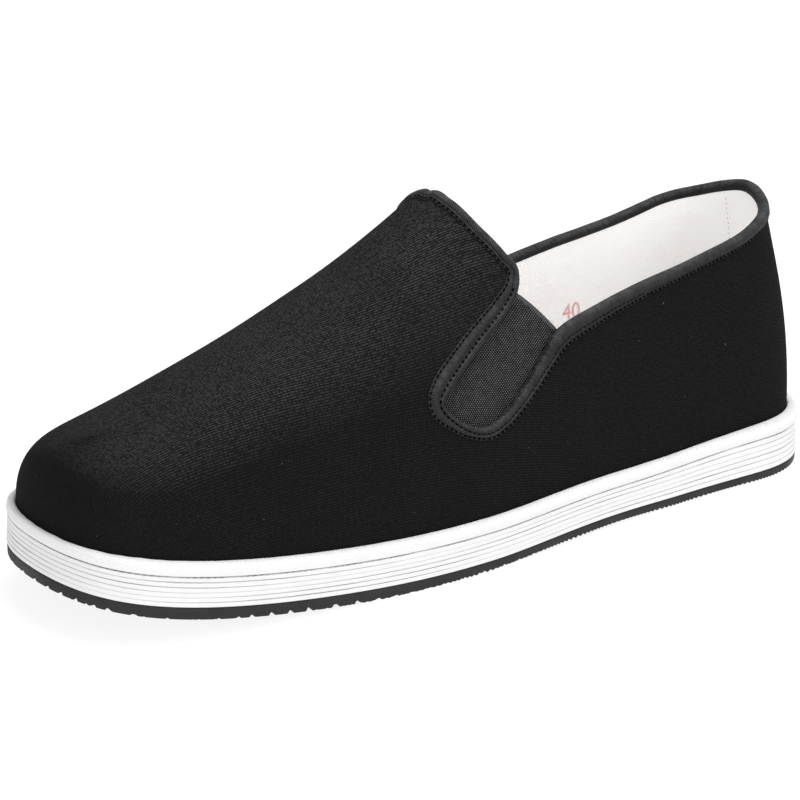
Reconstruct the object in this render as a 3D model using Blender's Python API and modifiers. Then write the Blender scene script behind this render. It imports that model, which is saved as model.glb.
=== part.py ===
"""Black cloth slip-on shoe for the left foot, with side elastic and a white layered sole.

Frame: metres, +X to the toe, +Y to the outer side, +Z up, origin on the floor under mid-length.
Every form comes from one last: a plan outline, a ridge line and rounded sections between them.
A place on the last is a station (0 at the heel, 1 at the toe, along either side) and a rise
(0 degrees at the sole, 90 at the ridge).
"""

import math
from collections import namedtuple

import bmesh
import bpy
import numpy as np

MM = 0.001

# Driving sizes
LENGTH = 270 * MM           # top of the midsole, heel to toe
BALL_WIDTH = 90 * MM        # top of the midsole at the ball
LAST_HEIGHT = 107 * MM      # highest point of the last over the midsole
UPPER_WALL = 1.8 * MM       # cloth, backing and lining together
FIT = 0.3 * MM              # gap between pieces that touch

# Sole levels
LUG_HEIGHT = 1.2 * MM
OUTSOLE_SHEET = 1.7 * MM
MIDSOLE_HEIGHT = 8.4 * MM
HEEL_LIFT = 1.2 * MM        # extra midsole under the heel
TOE_SPRING = 13.0 * MM      # lift of the sole at the toe tip
ARCH_RISE = 0.8 * MM

# Places along the sole, as shares of its length measured forward from the heel tip
SPRING_START = 0.581        # where the toe spring begins
ARCH_MIDDLE = 0.407
ARCH_REACH = 0.148          # half the length of the arch
LIFT_START = 0.648          # where the heel lift begins to grow towards the heel
LIFT_FULL = 0.248           # where it is full

# Sole plan
OUTSOLE_INSET = 1.0 * MM    # outsole edge inside the top of the midsole
MIDSOLE_FLARE = 0.7 * MM    # midsole bottom edge inside its top edge
TOE_SWING = 3.4 * MM        # sideways shift of the toe tip to the inner side
MIDSOLE_LAYERS = 6
RIB_DEPTH = 0.45 * MM       # groove between two layers
SOLE_COLUMNS = 32           # stations along each side of the midsole

# Tread
TREAD_PITCH = 8.0 * MM
TREAD_BAR = 4.4 * MM
TREAD_MARGIN = 9.0 * MM     # first and last bar inside the sole's tips
TREAD_LANES = (0.0, 0.30, 0.36, 0.64, 0.70, 1.0)    # shares of the width, lug and channel by turns
TIP_STATIONS = (0.02, 0.05)                          # outline stations before the first bar

# Upper
UPPER_INSET = 2.4 * MM      # foot of the upper inside the midsole edge
RIDGE_BACK = 56 * MM        # rear end of the last's ridge, ahead of the heel tip
RIDGE_FRONT = 18.5 * MM     # front end of the ridge, behind the toe tip
RIDGE_SHIFT = 0.8 * MM      # ridge off the middle, to the inner side
RIDGE_SWING = 0.7           # share of the toe swing that the ridge takes
SIDE_BULGE = 0.01           # fullness of the sections
LOWER_ROWS = 7              # rows of faces below the notch tip
UPPER_ROWS = 8              # rows of faces above it
TOE_COLUMNS = 13

# Welt, insole, elastic and binding
WELT_HEIGHT = 3.8 * MM
INSOLE_HEIGHT = 2.6 * MM
INSOLE_CLEAR = 0.4 * MM
GORE_THICK = 0.9 * MM
COLLAR_TAPE = 4.0 * MM      # width of the collar binding on the cloth
THROAT_TAPE = 3.2 * MM      # width of the throat binding on the cloth
TAPE_THICK = 0.9 * MM
ROLL_REACH = 1.7 * MM       # how far the collar roll stands over the cloth edge
FOLD_REACH = 0.9 * MM       # how far the throat fold stands over the cloth edge
TAPE_SPLIT = 0.04           # half the space between the two bindings, in rows of the mouth table
COLLAR_PLACES = 34          # sections of each half of a binding
THROAT_PLACES = 28

# Half breadths of the sole as shares of the ball width, times the sine along the side
Breadth = namedtuple("Breadth", "station outer inner")
OUTLINE = (
    Breadth(0.00, 0.704, 0.704),
    Breadth(0.13, 0.716, 0.687),
    Breadth(0.26, 0.535, 0.481),
    Breadth(0.40, 0.428, 0.371),
    Breadth(0.54, 0.462, 0.478),
    Breadth(0.68, 0.493, 0.597),
    Breadth(0.84, 0.692, 0.886),
    Breadth(1.00, 1.104, 1.104),
)

# The ridge: its height over the sole at places along it, as shares of the last's height
Ridge = namedtuple("Ridge", "forward height")
RIDGE = (
    Ridge(0.00, 1.000),
    Ridge(0.12, 0.984),
    Ridge(0.35, 0.898),
    Ridge(0.50, 0.735),
    Ridge(0.65, 0.572),
    Ridge(0.80, 0.427),
    Ridge(0.92, 0.315),
    Ridge(1.00, 0.263),
)

# Squareness of each section of the last: 2 is an ellipse, more is boxier, less is leaner
Section = namedtuple("Section", "station side crown")
SECTIONS = (
    Section(0.0, 2.40, 2.30),
    Section(0.2, 1.53, 2.03),
    Section(0.4, 1.47, 2.02),
    Section(0.5, 1.54, 2.09),
    Section(0.6, 2.12, 2.15),
    Section(0.8, 2.69, 2.43),
    Section(1.0, 2.70, 2.60),
)

# The mouth of the upper, from the heel to the top of the throat, on either side
Mouth = namedtuple("Mouth", "station rise")
MOUTH = (
    Mouth(0.0000, 35.2),    # collar at the back of the heel
    Mouth(0.0800, 36.7),
    Mouth(0.1600, 40.0),
    Mouth(0.2400, 40.8),
    Mouth(0.3200, 38.4),
    Mouth(0.4000, 35.6),
    Mouth(0.4430, 35.0),    # rear top corner of the notch
    Mouth(0.4650, 32.8),
    Mouth(0.4900, 29.4),
    Mouth(0.5130, 26.2),
    Mouth(0.5290, 24.6),    # bottom of the notch
    Mouth(0.5450, 26.9),
    Mouth(0.5580, 32.0),    # foremost point of the notch
    Mouth(0.5520, 36.8),
    Mouth(0.5210, 42.8),
    Mouth(0.4900, 46.1),
    Mouth(0.4720, 48.2),    # corner of the throat
    Mouth(0.4645, 51.5),
    Mouth(0.4685, 56.5),
    Mouth(0.4735, 67.0),
    Mouth(0.4710, 79.0),
    Mouth(0.4635, 90.0),    # top of the throat, on the ridge
)
NOTCH_TOP = 6               # rows of the table above
NOTCH_BOTTOM = 10
NOTCH_TIP = 12
THROAT_CORNER = 16
THROAT_TOP = 21
COLLAR_STEPS = 3            # steps to a table row along the collar
NOTCH_STEPS = 2             # and along the notch

# The two long edges of an elastic panel, from its top down, hidden behind the notch's edges
Rail = namedtuple("Rail", "front_station front_rise rear_station rear_rise")
GORE = (
    Rail(0.475, 49.8, 0.438, 34.0),
    Rail(0.498, 48.3, 0.456, 30.6),
    Rail(0.528, 45.2, 0.474, 27.6),
    Rail(0.556, 40.8, 0.491, 24.7),
    Rail(0.569, 35.5, 0.508, 21.8),
    Rail(0.567, 28.8, 0.527, 19.5),
)
GORE_COLUMNS = 7

# Welt section: distance in from the midsole edge, and height, as shares
Bead = namedtuple("Bead", "inset height")
WELT_SECTION = (
    Bead(0.88, 0.00),
    Bead(0.20, 0.00),
    Bead(-0.08, 0.25),
    Bead(-0.14, 0.55),
    Bead(0.06, 0.86),
    Bead(0.40, 1.00),
    Bead(0.88, 0.98),
)

# Binding section: along the cloth from its edge, and out from its face.
# Along is a share of the tape's width on the cloth, or of the reach past the edge if not positive.
# Out is a share of the tape's thickness, or of the cloth's wall behind the face if negative.
Fold = namedtuple("Fold", "along out")
BINDING_SECTION = (
    Fold(1.00, 0.00),
    Fold(1.00, 0.60),
    Fold(0.45, 1.05),
    Fold(-0.10, 1.45),
    Fold(-0.75, 0.95),
    Fold(-1.00, -0.25),
    Fold(-0.80, -0.85),
    Fold(0.00, -0.97),
    Fold(0.00, 0.00),
)

Finish = namedtuple("Finish", "slot color roughness")
BLACK_CLOTH = Finish("black_cloth", (0.012, 0.012, 0.013), 0.90)
BINDING_TAPE = Finish("binding_tape", (0.020, 0.020, 0.021), 0.60)
ELASTIC = Finish("elastic", (0.016, 0.016, 0.017), 0.80)
WHITE_COTTON = Finish("white_cotton", (0.80, 0.80, 0.80), 0.85)
WHITE_SOLE = Finish("white_sole", (0.78, 0.78, 0.77), 0.60)
BLACK_RUBBER = Finish("black_rubber", (0.025, 0.025, 0.025), 0.70)
INSOLE_CLOTH = Finish("insole_cloth", (0.72, 0.70, 0.68), 0.85)


def natural_curve(rows, key, name):
    """The natural cubic curve through one column of a table, as a function of its key column."""
    knots = np.array([getattr(row, key) for row in rows])
    values = np.array([getattr(row, name) for row in rows])
    run, size = np.diff(knots), len(knots)
    matrix, right = np.eye(size), np.zeros(size)
    for i in range(1, size - 1):
        matrix[i, i - 1:i + 2] = run[i - 1], 2 * (run[i - 1] + run[i]), run[i]
        right[i] = 6 * ((values[i + 1] - values[i]) / run[i] - (values[i] - values[i - 1]) / run[i - 1])
    bend = np.linalg.solve(matrix, right)

    def read(at):
        i = min(max(int(np.searchsorted(knots, at)) - 1, 0), size - 2)
        past, left = at - knots[i], knots[i + 1] - at
        cubic = (bend[i] * left ** 3 + bend[i + 1] * past ** 3) / (6 * run[i])
        start = values[i] / run[i] - bend[i] * run[i] / 6
        end = values[i + 1] / run[i] - bend[i + 1] * run[i] / 6
        return float(cubic + start * left + end * past)

    return read


BREADTH = {1: natural_curve(OUTLINE, "station", "outer"), -1: natural_curve(OUTLINE, "station", "inner")}
RIDGE_HEIGHT = natural_curve(RIDGE, "forward", "height")
SIDE_SQUARENESS = natural_curve(SECTIONS, "station", "side")
CROWN_SQUARENESS = natural_curve(SECTIONS, "station", "crown")


def smooth_path(points, place):
    """A point on the smooth curve through a list of points, at a fractional row number."""
    last_row = len(points) - 1
    row = min(int(place), last_row - 1)
    share = place - row
    p1, p2 = points[row], points[row + 1]
    p0 = points[row - 1] if row else 2 * p1 - p2
    p3 = points[row + 2] if row + 2 <= last_row else 2 * p2 - p1
    return 0.5 * (2 * p1 + (p2 - p0) * share + (2 * p0 - 5 * p1 + 4 * p2 - p3) * share ** 2
                  + (3 * p1 - p0 - 3 * p2 + p3) * share ** 3)


def forward_share(station):
    """How far a station lies from the heel tip to the toe tip, measured along X."""
    return (1 - math.cos(math.pi * station)) / 2


def edge_y(station, side):
    """The midsole's edge off the line through the heel tip: side is +1 outer and -1 inner."""
    breadth = BALL_WIDTH * BREADTH[side](station)
    return side * breadth * math.sin(math.pi * station) - TOE_SWING * forward_share(station) ** 2


def plan_middle():
    """The middle of the sole's breadth off the line through the heel tip."""
    stations = np.linspace(0, 1, 201)
    return (max(edge_y(s, 1) for s in stations) + min(edge_y(s, -1) for s in stations)) / 2


PLAN_MIDDLE = plan_middle()


def outline_point(station, side):
    """A point on the midsole's edge, in plan."""
    return np.array((LENGTH * (forward_share(station) - 0.5), edge_y(station, side) - PLAN_MIDDLE))


def inset_point(station, side, inset):
    """A point set in from the midsole's edge, square to it."""
    step = 1e-4
    ahead = outline_point(station + step, side) - outline_point(station - step, side)
    inward = np.array((ahead[1], -ahead[0])) * side / np.linalg.norm(ahead)
    return outline_point(station, side) + inward * inset


def floor_level(x):
    """Height of the outsole's underside: arch and toe spring."""
    forward = x / LENGTH + 0.5
    spring = TOE_SPRING * (max(forward - SPRING_START, 0) / (1 - SPRING_START)) ** 2
    arch = ARCH_RISE * max(1 - ((forward - ARCH_MIDDLE) / ARCH_REACH) ** 2, 0) ** 2
    return spring + arch


def outsole_top(x):
    """Height of the outsole's upper face."""
    return floor_level(x) + LUG_HEIGHT + OUTSOLE_SHEET


def midsole_level(x, share):
    """Height in the midsole, from its underside (0) to its upper face (1)."""
    forward = x / LENGTH + 0.5
    ramp = min(max((LIFT_START - forward) / (LIFT_START - LIFT_FULL), 0), 1)
    lift = HEEL_LIFT * ramp * ramp * (3 - 2 * ramp)
    return outsole_top(x) + FIT + share * (MIDSOLE_HEIGHT + lift)


def ridge_point(forward):
    """A point on the last's ridge, from its rear end (0) to its front end (1)."""
    back, front = RIDGE_BACK - LENGTH / 2, LENGTH / 2 - RIDGE_FRONT
    x = back + (front - back) * forward
    y = -PLAN_MIDDLE - RIDGE_SHIFT - RIDGE_SWING * TOE_SWING * forward ** 2
    height = LAST_HEIGHT * RIDGE_HEIGHT(forward)
    base = outsole_top(x) + FIT + MIDSOLE_HEIGHT + HEEL_LIFT
    return np.array((x, y, base + height))


def last_point(station, rise, side):
    """A point on the outside of the upper."""
    foot = inset_point(station, side, UPPER_INSET)
    foot_z = midsole_level(foot[0], 1) + FIT
    forward, step = forward_share(station), 1e-4
    ridge = ridge_point(forward)
    run = ridge_point(forward + step) - ridge_point(forward - step)
    angle = math.radians(rise)
    up = math.sin(angle) ** (2 / SIDE_SQUARENESS(station))
    out = math.cos(angle) ** (2 / CROWN_SQUARENESS(station)) if rise < 90 else 0
    out *= 1 + SIDE_BULGE * up * (1 - up)
    x, y = ridge[:2] + (foot - ridge[:2]) * out
    z = foot_z + (ridge[2] - foot_z) * up + run[2] / run[0] * (x - ridge[0]) * up
    return np.array((x, y, z))


def last_normal(station, rise, side):
    """The outward direction of the last at a place."""
    step, turn = 1e-3, 0.2
    rise = min(rise, 90 - 2 * turn)
    along = last_point(station + step, rise, side) - last_point(station - step, rise, side)
    upward = last_point(station, rise + turn, side) - last_point(station, rise - turn, side)
    normal = np.cross(along, upward) * side
    if rise > 89:
        normal[1] = 0
    return -normal / np.linalg.norm(normal)


def mouth_place(place):
    """Station and rise on the upper's mouth at a fractional row of its table."""
    points = [np.array((row.station, row.rise)) for row in MOUTH]
    return smooth_path(points, place)


def mouth_places(first, final, steps):
    """Places along the mouth between two rows, with a number of steps to each row."""
    count = (final - first) * steps
    return [mouth_place(first + i / steps) for i in range(count + 1)]


def make_material(finish):
    """The plain material of a piece."""
    material = bpy.data.materials.new(finish.slot)
    material.use_nodes = True
    shader = material.node_tree.nodes["Principled BSDF"]
    shader.inputs["Base Color"].default_value = (*finish.color, 1)
    shader.inputs["Roughness"].default_value = finish.roughness
    shader.inputs["Metallic"].default_value = 0
    material.diffuse_color = (*finish.color, 1)
    return material


def make_object(name, points, faces, finish, collection):
    """An object from points and faces, its doubles merged and its faces turned out."""
    mesh = bpy.data.meshes.new(name)
    mesh.from_pydata([tuple(p) for p in points], [], faces)
    bm = bmesh.new()
    bm.from_mesh(mesh)
    bmesh.ops.remove_doubles(bm, verts=bm.verts, dist=1e-6)
    bmesh.ops.recalc_face_normals(bm, faces=bm.faces)
    bm.to_mesh(mesh)
    bm.free()
    mesh.shade_smooth()
    mesh.set_sharp_from_angle(angle=math.radians(35))
    piece = bpy.data.objects.new(name, mesh)
    piece.data.materials.append(make_material(finish))
    collection.objects.link(piece)
    return piece


def outline_loop(stations, inset, height):
    """A closed loop of points, out along the outer side and back along the inner side."""
    places = [(s, 1) for s in stations] + [(s, -1) for s in reversed(stations[1:-1])]
    loop = []
    for station, side in places:
        x, y = inset_point(station, side, inset)
        loop.append(np.array((x, y, height(x))))
    return loop


def stacked_faces(rings, size, closed):
    """Quads between rings of points; closed also joins the last ring to the first."""
    faces = []
    for ring in range(rings if closed else rings - 1):
        low, high = ring * size, (ring + 1) % rings * size
        for i in range(size):
            j = (i + 1) % size
            faces.append((low + i, low + j, high + j, high + i))
    return faces


def ladder_faces(start, size):
    """A cap over a loop, as rungs between its outer and its inner side."""
    half = size // 2
    faces = []
    for i in range(half):
        a, b = i, i + 1
        c, d = (size - b) % size, (size - a) % size
        face = [a, b] if b == c else [a, b, c]
        if a != d:
            face.append(d)
        faces.append(tuple(start + k for k in dict.fromkeys(face)))
    return faces


def loop_solid(name, stations, rows, finish, collection):
    """A closed slab: rows give each ring's inset and its height over X, from the bottom up."""
    rings = [outline_loop(stations, inset, height) for inset, height in rows]
    size = len(rings[0])
    faces = stacked_faces(len(rings), size, closed=False)
    faces += ladder_faces(0, size)
    faces += ladder_faces((len(rings) - 1) * size, size)
    return make_object(name, [p for ring in rings for p in ring], faces, finish, collection)


def make_midsole(collection):
    """Six bonded layers, each a soft rib on the side of the sole."""
    stations = [i / SOLE_COLUMNS for i in range(SOLE_COLUMNS + 1)]
    rows = []
    for step in range(2 * MIDSOLE_LAYERS + 1):
        share = step / (2 * MIDSOLE_LAYERS)
        inset = MIDSOLE_FLARE * (1 - share) + (0 if step % 2 else RIB_DEPTH)
        rows.append((inset, lambda x, share=share: midsole_level(x, share)))
    return loop_solid("midsole", stations, rows, WHITE_SOLE, collection)


def station_at(x):
    """The station whose outline point lies at X."""
    return math.acos(1 - 2 * (x / LENGTH + 0.5)) / math.pi


def make_outsole(collection):
    """A rubber sheet with three lanes of lugs, the middle lane half a pitch behind."""
    bars = int((LENGTH - 2 * TREAD_MARGIN - TREAD_BAR) / TREAD_PITCH) + 1
    first = -((bars - 1) * TREAD_PITCH + TREAD_BAR) / 2
    edges = [first + bar * TREAD_PITCH + end * TREAD_BAR for bar in range(bars) for end in (0, 1)]
    stations = [*TIP_STATIONS, *(station_at(x) for x in edges), *(1 - s for s in reversed(TIP_STATIONS))]
    lanes = len(TREAD_LANES)
    points = []
    for station in stations:
        outer, inner = inset_point(station, 1, OUTSOLE_INSET), inset_point(station, -1, OUTSOLE_INSET)
        for share in TREAD_LANES:
            x, y = outer + (inner - outer) * share
            level = floor_level(x)
            points += [(x, y, level), (x, y, level + LUG_HEIGHT), (x, y, outsole_top(x))]

    def node(row, lane, level):
        return (row * lanes + lane) * 3 + level

    def is_lug(row, lane):
        if not 0 <= row < len(stations) - 1 or not 0 <= lane < lanes - 1 or lane % 2:
            return False
        at_tip = row < len(TIP_STATIONS) or row >= len(stations) - 1 - len(TIP_STATIONS)
        staggered = lane == lanes // 2 - 1
        return not staggered if at_tip else (row - len(TIP_STATIONS)) % 2 == int(staggered)

    faces = []
    for row in range(len(stations) - 1):
        for lane in range(lanes - 1):
            low = 0 if is_lug(row, lane) else 1
            cell = ((row, lane), (row, lane + 1), (row + 1, lane + 1), (row + 1, lane))
            faces.append(tuple(node(r, k, low) for r, k in cell))
            faces.append(tuple(node(r, k, 2) for r, k in cell))
            neighbours = ((row, lane - 1), (row + 1, lane), (row, lane + 1), (row - 1, lane))
            walls = ((cell[0], cell[3]), (cell[3], cell[2]), (cell[2], cell[1]), (cell[1], cell[0]))
            for (r, k), (a, b) in zip(neighbours, walls):
                inside = 0 <= r < len(stations) - 1 and 0 <= k < lanes - 1
                if low == 0 and not is_lug(r, k):
                    faces.append((node(*a, 0), node(*b, 0), node(*b, 1), node(*a, 1)))
                if not inside:
                    faces.append((node(*a, 1), node(*b, 1), node(*b, 2), node(*a, 2)))
    return make_object("outsole", points, faces, BLACK_RUBBER, collection)


def upper_stations():
    """Stations of the upper's foot, heel to toe: they follow the mouth, then run to the toe."""
    collar = mouth_places(0, NOTCH_TOP, COLLAR_STEPS)
    notch = mouth_places(NOTCH_TOP, NOTCH_TIP, NOTCH_STEPS)[1:]
    low = [tuple(p) for p in collar + notch]
    tip = low[-1][0]
    toe = [tip + (1 - tip) * i / TOE_COLUMNS for i in range(1, TOE_COLUMNS + 1)]
    return low, toe


def make_upper(collection):
    """The lasted cloth shell, open at the mouth and underneath."""
    low, toe = upper_stations()
    tip_station, tip_rise = low[-1]
    front = [tuple(p) for p in reversed(mouth_places(NOTCH_TIP, THROAT_CORNER, NOTCH_STEPS))]
    throat = [tuple(mouth_place(row)) for row in np.linspace(THROAT_CORNER, THROAT_TOP, UPPER_ROWS + 1)]
    above_tip = [tip_rise + (90 - tip_rise) * i / UPPER_ROWS for i in range(UPPER_ROWS + 1)]

    def vamp_place(i, j):
        """Blend the notch's front edge, the throat edge, the ridge and the column over the tip."""
        a, b = i / (len(front) - 1), j / UPPER_ROWS
        top = (throat[-1][0] + (tip_station - throat[-1][0]) * a, 90)
        right = (tip_station, above_tip[j])
        corner_blend = [(1 - a) * (1 - b) * front[0][k] + a * (1 - b) * front[-1][k]
                        + (1 - a) * b * throat[-1][k] + a * b * (tip_station, 90)[k] for k in (0, 1)]
        return tuple((1 - b) * front[i][k] + b * top[k] + (1 - a) * throat[j][k] + a * right[k]
                     - corner_blend[k] for k in (0, 1))

    patches = [
        [[(station, rise * j / LOWER_ROWS) for j in range(LOWER_ROWS + 1)] for station, rise in low],
        [[vamp_place(i, j) for j in range(UPPER_ROWS + 1)] for i in range(len(front))],
        [[(station, tip_rise * j / LOWER_ROWS) for j in range(LOWER_ROWS)]
         + [(station, rise) for rise in above_tip] for station in [tip_station, *toe]],
    ]
    points, faces = [], []
    for side in (1, -1):
        for patch in patches:
            start, height = len(points), len(patch[0])
            points += [last_point(station, rise, side) for strip in patch for station, rise in strip]
            for i in range(len(patch) - 1):
                for j in range(height - 1):
                    a, b = start + i * height + j, start + (i + 1) * height + j
                    faces.append((a, b, b + 1, a + 1))
    upper = make_object("upper", points, faces, BLACK_CLOTH, collection)
    wall = upper.modifiers.new("wall", "SOLIDIFY")
    wall.thickness = UPPER_WALL
    wall.offset = -1
    wall.use_even_offset = True
    return upper


def foot_stations():
    """The stations that welt and insole share with the foot of the upper."""
    low, toe = upper_stations()
    return [station for station, rise in low] + toe


def make_welt(collection):
    """The white cotton roll on the midsole's rim, round the foot of the upper."""
    rings = [outline_loop(foot_stations(), bead.inset * UPPER_INSET,
                          lambda x, bead=bead: midsole_level(x, 1) + FIT + bead.height * WELT_HEIGHT)
             for bead in WELT_SECTION]
    size = len(rings[0])
    faces = stacked_faces(len(rings), size, closed=True)
    return make_object("welt", [p for ring in rings for p in ring], faces, WHITE_COTTON, collection)


def make_insole(collection):
    """The board inside the upper, on top of the midsole."""
    inset = UPPER_INSET + UPPER_WALL + INSOLE_CLEAR
    rows = [(inset, lambda x: midsole_level(x, 1) + FIT),
            (inset, lambda x: midsole_level(x, 1) + FIT + INSOLE_HEIGHT)]
    return loop_solid("insole", foot_stations(), rows, INSOLE_CLOTH, collection)


def make_gore(name, side, collection):
    """An elastic panel behind a notch."""
    points, faces = [], []
    depth = UPPER_WALL + FIT
    for row in GORE:
        front = np.array((row.front_station, row.front_rise))
        rear = np.array((row.rear_station, row.rear_rise))
        for k in range(GORE_COLUMNS + 1):
            station, rise = rear + (front - rear) * k / GORE_COLUMNS
            points.append(last_point(station, rise, side) - last_normal(station, rise, side) * depth)
    width = GORE_COLUMNS + 1
    for i in range(len(GORE) - 1):
        for k in range(GORE_COLUMNS):
            a, b = i * width + k, (i + 1) * width + k
            face = (a, a + 1, b + 1, b)
            faces.append(face if side > 0 else face[::-1])
    gore = make_object(name, points, faces, ELASTIC, collection)
    wall = gore.modifiers.new("wall", "SOLIDIFY")
    wall.thickness = GORE_THICK
    wall.offset = -1
    return gore


def make_binding(name, places, tape, reach, collection):
    """A folded tape swept round an edge of the mouth. Places are station, rise and side."""
    edge = [last_point(*place) for place in places]
    points = []
    for i, place in enumerate(places):
        ahead = edge[min(i + 1, len(edge) - 1)] - edge[max(i - 1, 0)]
        out = last_normal(*place)
        into_cloth = np.cross(ahead, out)
        into_cloth /= np.linalg.norm(into_cloth)
        for fold in BINDING_SECTION:
            along = fold.along * tape if fold.along > 0 else fold.along * reach - FIT
            lift = FIT + fold.out * TAPE_THICK if fold.out >= 0 else fold.out * UPPER_WALL
            points.append(edge[i] + into_cloth * along + out * lift)
    size = len(BINDING_SECTION)
    faces = stacked_faces(len(places), size, closed=False)
    faces.append(tuple(range(size)))
    faces.append(tuple(reversed(range(len(points) - size, len(points)))))
    return make_object(name, points, faces, BINDING_TAPE, collection)


def make_collar_binding(collection):
    """The rolled tape from one notch's bottom, round the heel, to the other's."""
    rows = np.linspace(NOTCH_BOTTOM - TAPE_SPLIT, 0, COLLAR_PLACES)
    outer = [(*mouth_place(row), 1) for row in rows]
    inner = [(*mouth_place(row), -1) for row in reversed(rows[:-1])]
    return make_binding("collar_binding", outer + inner, COLLAR_TAPE, ROLL_REACH, collection)


def make_throat_binding(collection):
    """The folded band up the front of one notch, over the throat and down the other."""
    rows = np.linspace(NOTCH_BOTTOM + TAPE_SPLIT, THROAT_TOP, THROAT_PLACES)
    inner = [(*mouth_place(row), -1) for row in rows]
    outer = [(*mouth_place(row), 1) for row in reversed(rows[:-1])]
    return make_binding("throat_binding", inner + outer, THROAT_TAPE, FOLD_REACH, collection)


def main():
    """Build the shoe in a collection of its own."""
    for item in list(bpy.data.objects):
        bpy.data.objects.remove(item)
    shoe = bpy.data.collections.new("cloth_shoe")
    bpy.context.scene.collection.children.link(shoe)
    make_outsole(shoe)
    make_midsole(shoe)
    make_welt(shoe)
    make_insole(shoe)
    make_upper(shoe)
    make_gore("gore_outer", 1, shoe)
    make_gore("gore_inner", -1, shoe)
    make_collar_binding(shoe)
    make_throat_binding(shoe)


main()
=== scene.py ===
"""Looks of a black cloth slip-on shoe: woven upper, cotton lining, elastic, bindings, layered sole.

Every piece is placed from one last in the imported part's frame: metres, +X to the toe, +Y to the
outer side, +Z up. A place on the last is a station (0 at the heel, 1 at the toe, along either
side) and a rise (0 degrees at the sole, 90 at the ridge). A side is 1 for the outer side of this
left shoe and -1 for the inner side.
"""

import logging
import math
from dataclasses import dataclass
from enum import Enum
from functools import cached_property
from typing import Callable, NamedTuple, Optional, Sequence, Union

import bmesh
import bpy
import numpy as np
from mathutils import Matrix, Vector


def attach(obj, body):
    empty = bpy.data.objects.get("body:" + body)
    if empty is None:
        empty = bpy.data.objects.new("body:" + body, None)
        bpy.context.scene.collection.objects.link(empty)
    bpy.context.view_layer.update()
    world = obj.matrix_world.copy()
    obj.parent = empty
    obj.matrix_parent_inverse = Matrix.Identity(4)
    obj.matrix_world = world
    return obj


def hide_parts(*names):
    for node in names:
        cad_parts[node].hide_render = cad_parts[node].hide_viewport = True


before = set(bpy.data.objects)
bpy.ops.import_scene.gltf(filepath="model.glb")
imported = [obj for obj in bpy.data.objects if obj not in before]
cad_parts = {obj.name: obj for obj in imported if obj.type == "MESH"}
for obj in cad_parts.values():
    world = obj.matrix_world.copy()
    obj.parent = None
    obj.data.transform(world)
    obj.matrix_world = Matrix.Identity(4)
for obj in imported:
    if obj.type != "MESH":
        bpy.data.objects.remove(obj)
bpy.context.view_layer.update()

LOG = logging.getLogger("cloth_shoe")
MM = 0.001
WEAVE = "weave"             # name of each piece's UV map, in millimetres of cloth

Colour = tuple[float, float, float]
Places = Union[float, np.ndarray]
Curve = Callable[[Places], np.ndarray]
Feeds = dict[Union[int, str], object]
Run = tuple[np.ndarray, np.ndarray, np.ndarray]     # a seam's points, with their directions ahead and out


class Side(Enum):
    """The two sides of this left shoe."""

    OUTER = 1.0
    INNER = -1.0


class Breadth(NamedTuple):
    """Half breadths of the sole at a station, as shares of the ball width."""

    station: float
    outer: float
    inner: float


class Ridge(NamedTuple):
    """Height of the last's ridge, as a share of the last's height."""

    forward: float
    height: float


class Section(NamedTuple):
    """Squareness of the last's section at a station."""

    station: float
    side: float
    crown: float


class Mouth(NamedTuple):
    """A place on the edge of the upper's mouth, with its rise on the outer and the inner side."""

    station: float
    rise: float
    inner: float
    inner_shift: float = 0.0        # of the inner side's station


class Lean(NamedTuple):
    """A low and a high value at a station: of the warp's slope, or of the rise where it turns."""

    station: float
    low: float
    high: float


class Crease(NamedTuple):
    """A soft fold or hollow in the cloth: its middle, its two half sizes in mm, turn and height in mm."""

    side: float
    station: float
    rise: float
    length: float
    width: float
    turn: float
    height: float


def natural_curve(knots: np.ndarray, values: np.ndarray) -> Curve:
    """The natural cubic curve through a table.

    Args:
        knots: where the values stand, rising.
        values: the curve's values there.

    Returns:
        A function that reads the curve at an array of places.
    """
    run, size = np.diff(knots), len(knots)
    matrix, right = np.eye(size), np.zeros(size)
    for i in range(1, size - 1):
        matrix[i, i - 1:i + 2] = run[i - 1], 2 * (run[i - 1] + run[i]), run[i]
        right[i] = 6 * ((values[i + 1] - values[i]) / run[i] - (values[i] - values[i - 1]) / run[i - 1])
    bend = np.linalg.solve(matrix, right)

    def read(at: Places) -> np.ndarray:
        """Read the curve at an array of places.

        Args:
            at: the places.

        Returns:
            The curve's values there.
        """
        i = np.clip(np.searchsorted(knots, at) - 1, 0, size - 2)
        past, left = at - knots[i], knots[i + 1] - at
        cubic = (bend[i] * left ** 3 + bend[i + 1] * past ** 3) / (6 * run[i])
        start = values[i] / run[i] - bend[i] * run[i] / 6
        end = values[i + 1] / run[i] - bend[i + 1] * run[i] / 6
        return cubic + start * left + end * past

    return read


def smooth_rows(table: np.ndarray, rows: np.ndarray, before: Optional[np.ndarray] = None,
                after: Optional[np.ndarray] = None) -> np.ndarray:
    """Points on the smooth curve through a table's rows.

    Args:
        table: the rows, one point each.
        rows: fractional row numbers.
        before: the point before the first row, if it isn't on the first span's own line.
        after: the point after the last row, if it isn't on the last span's own line.

    Returns:
        One point for each row number.
    """
    first = 2 * table[0] - table[1] if before is None else before
    final = 2 * table[-1] - table[-2] if after is None else after
    padded = np.vstack([first[None], table, final[None]])
    row = np.clip(rows.astype(int), 0, len(table) - 2)
    share = (rows - row)[:, None]
    p0, p1, p2, p3 = (padded[row + k] for k in range(4))
    return 0.5 * (2 * p1 + (p2 - p0) * share + (2 * p0 - 5 * p1 + 4 * p2 - p3) * share ** 2
                  + (3 * p1 - p0 - 3 * p2 + p3) * share ** 3)


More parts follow.
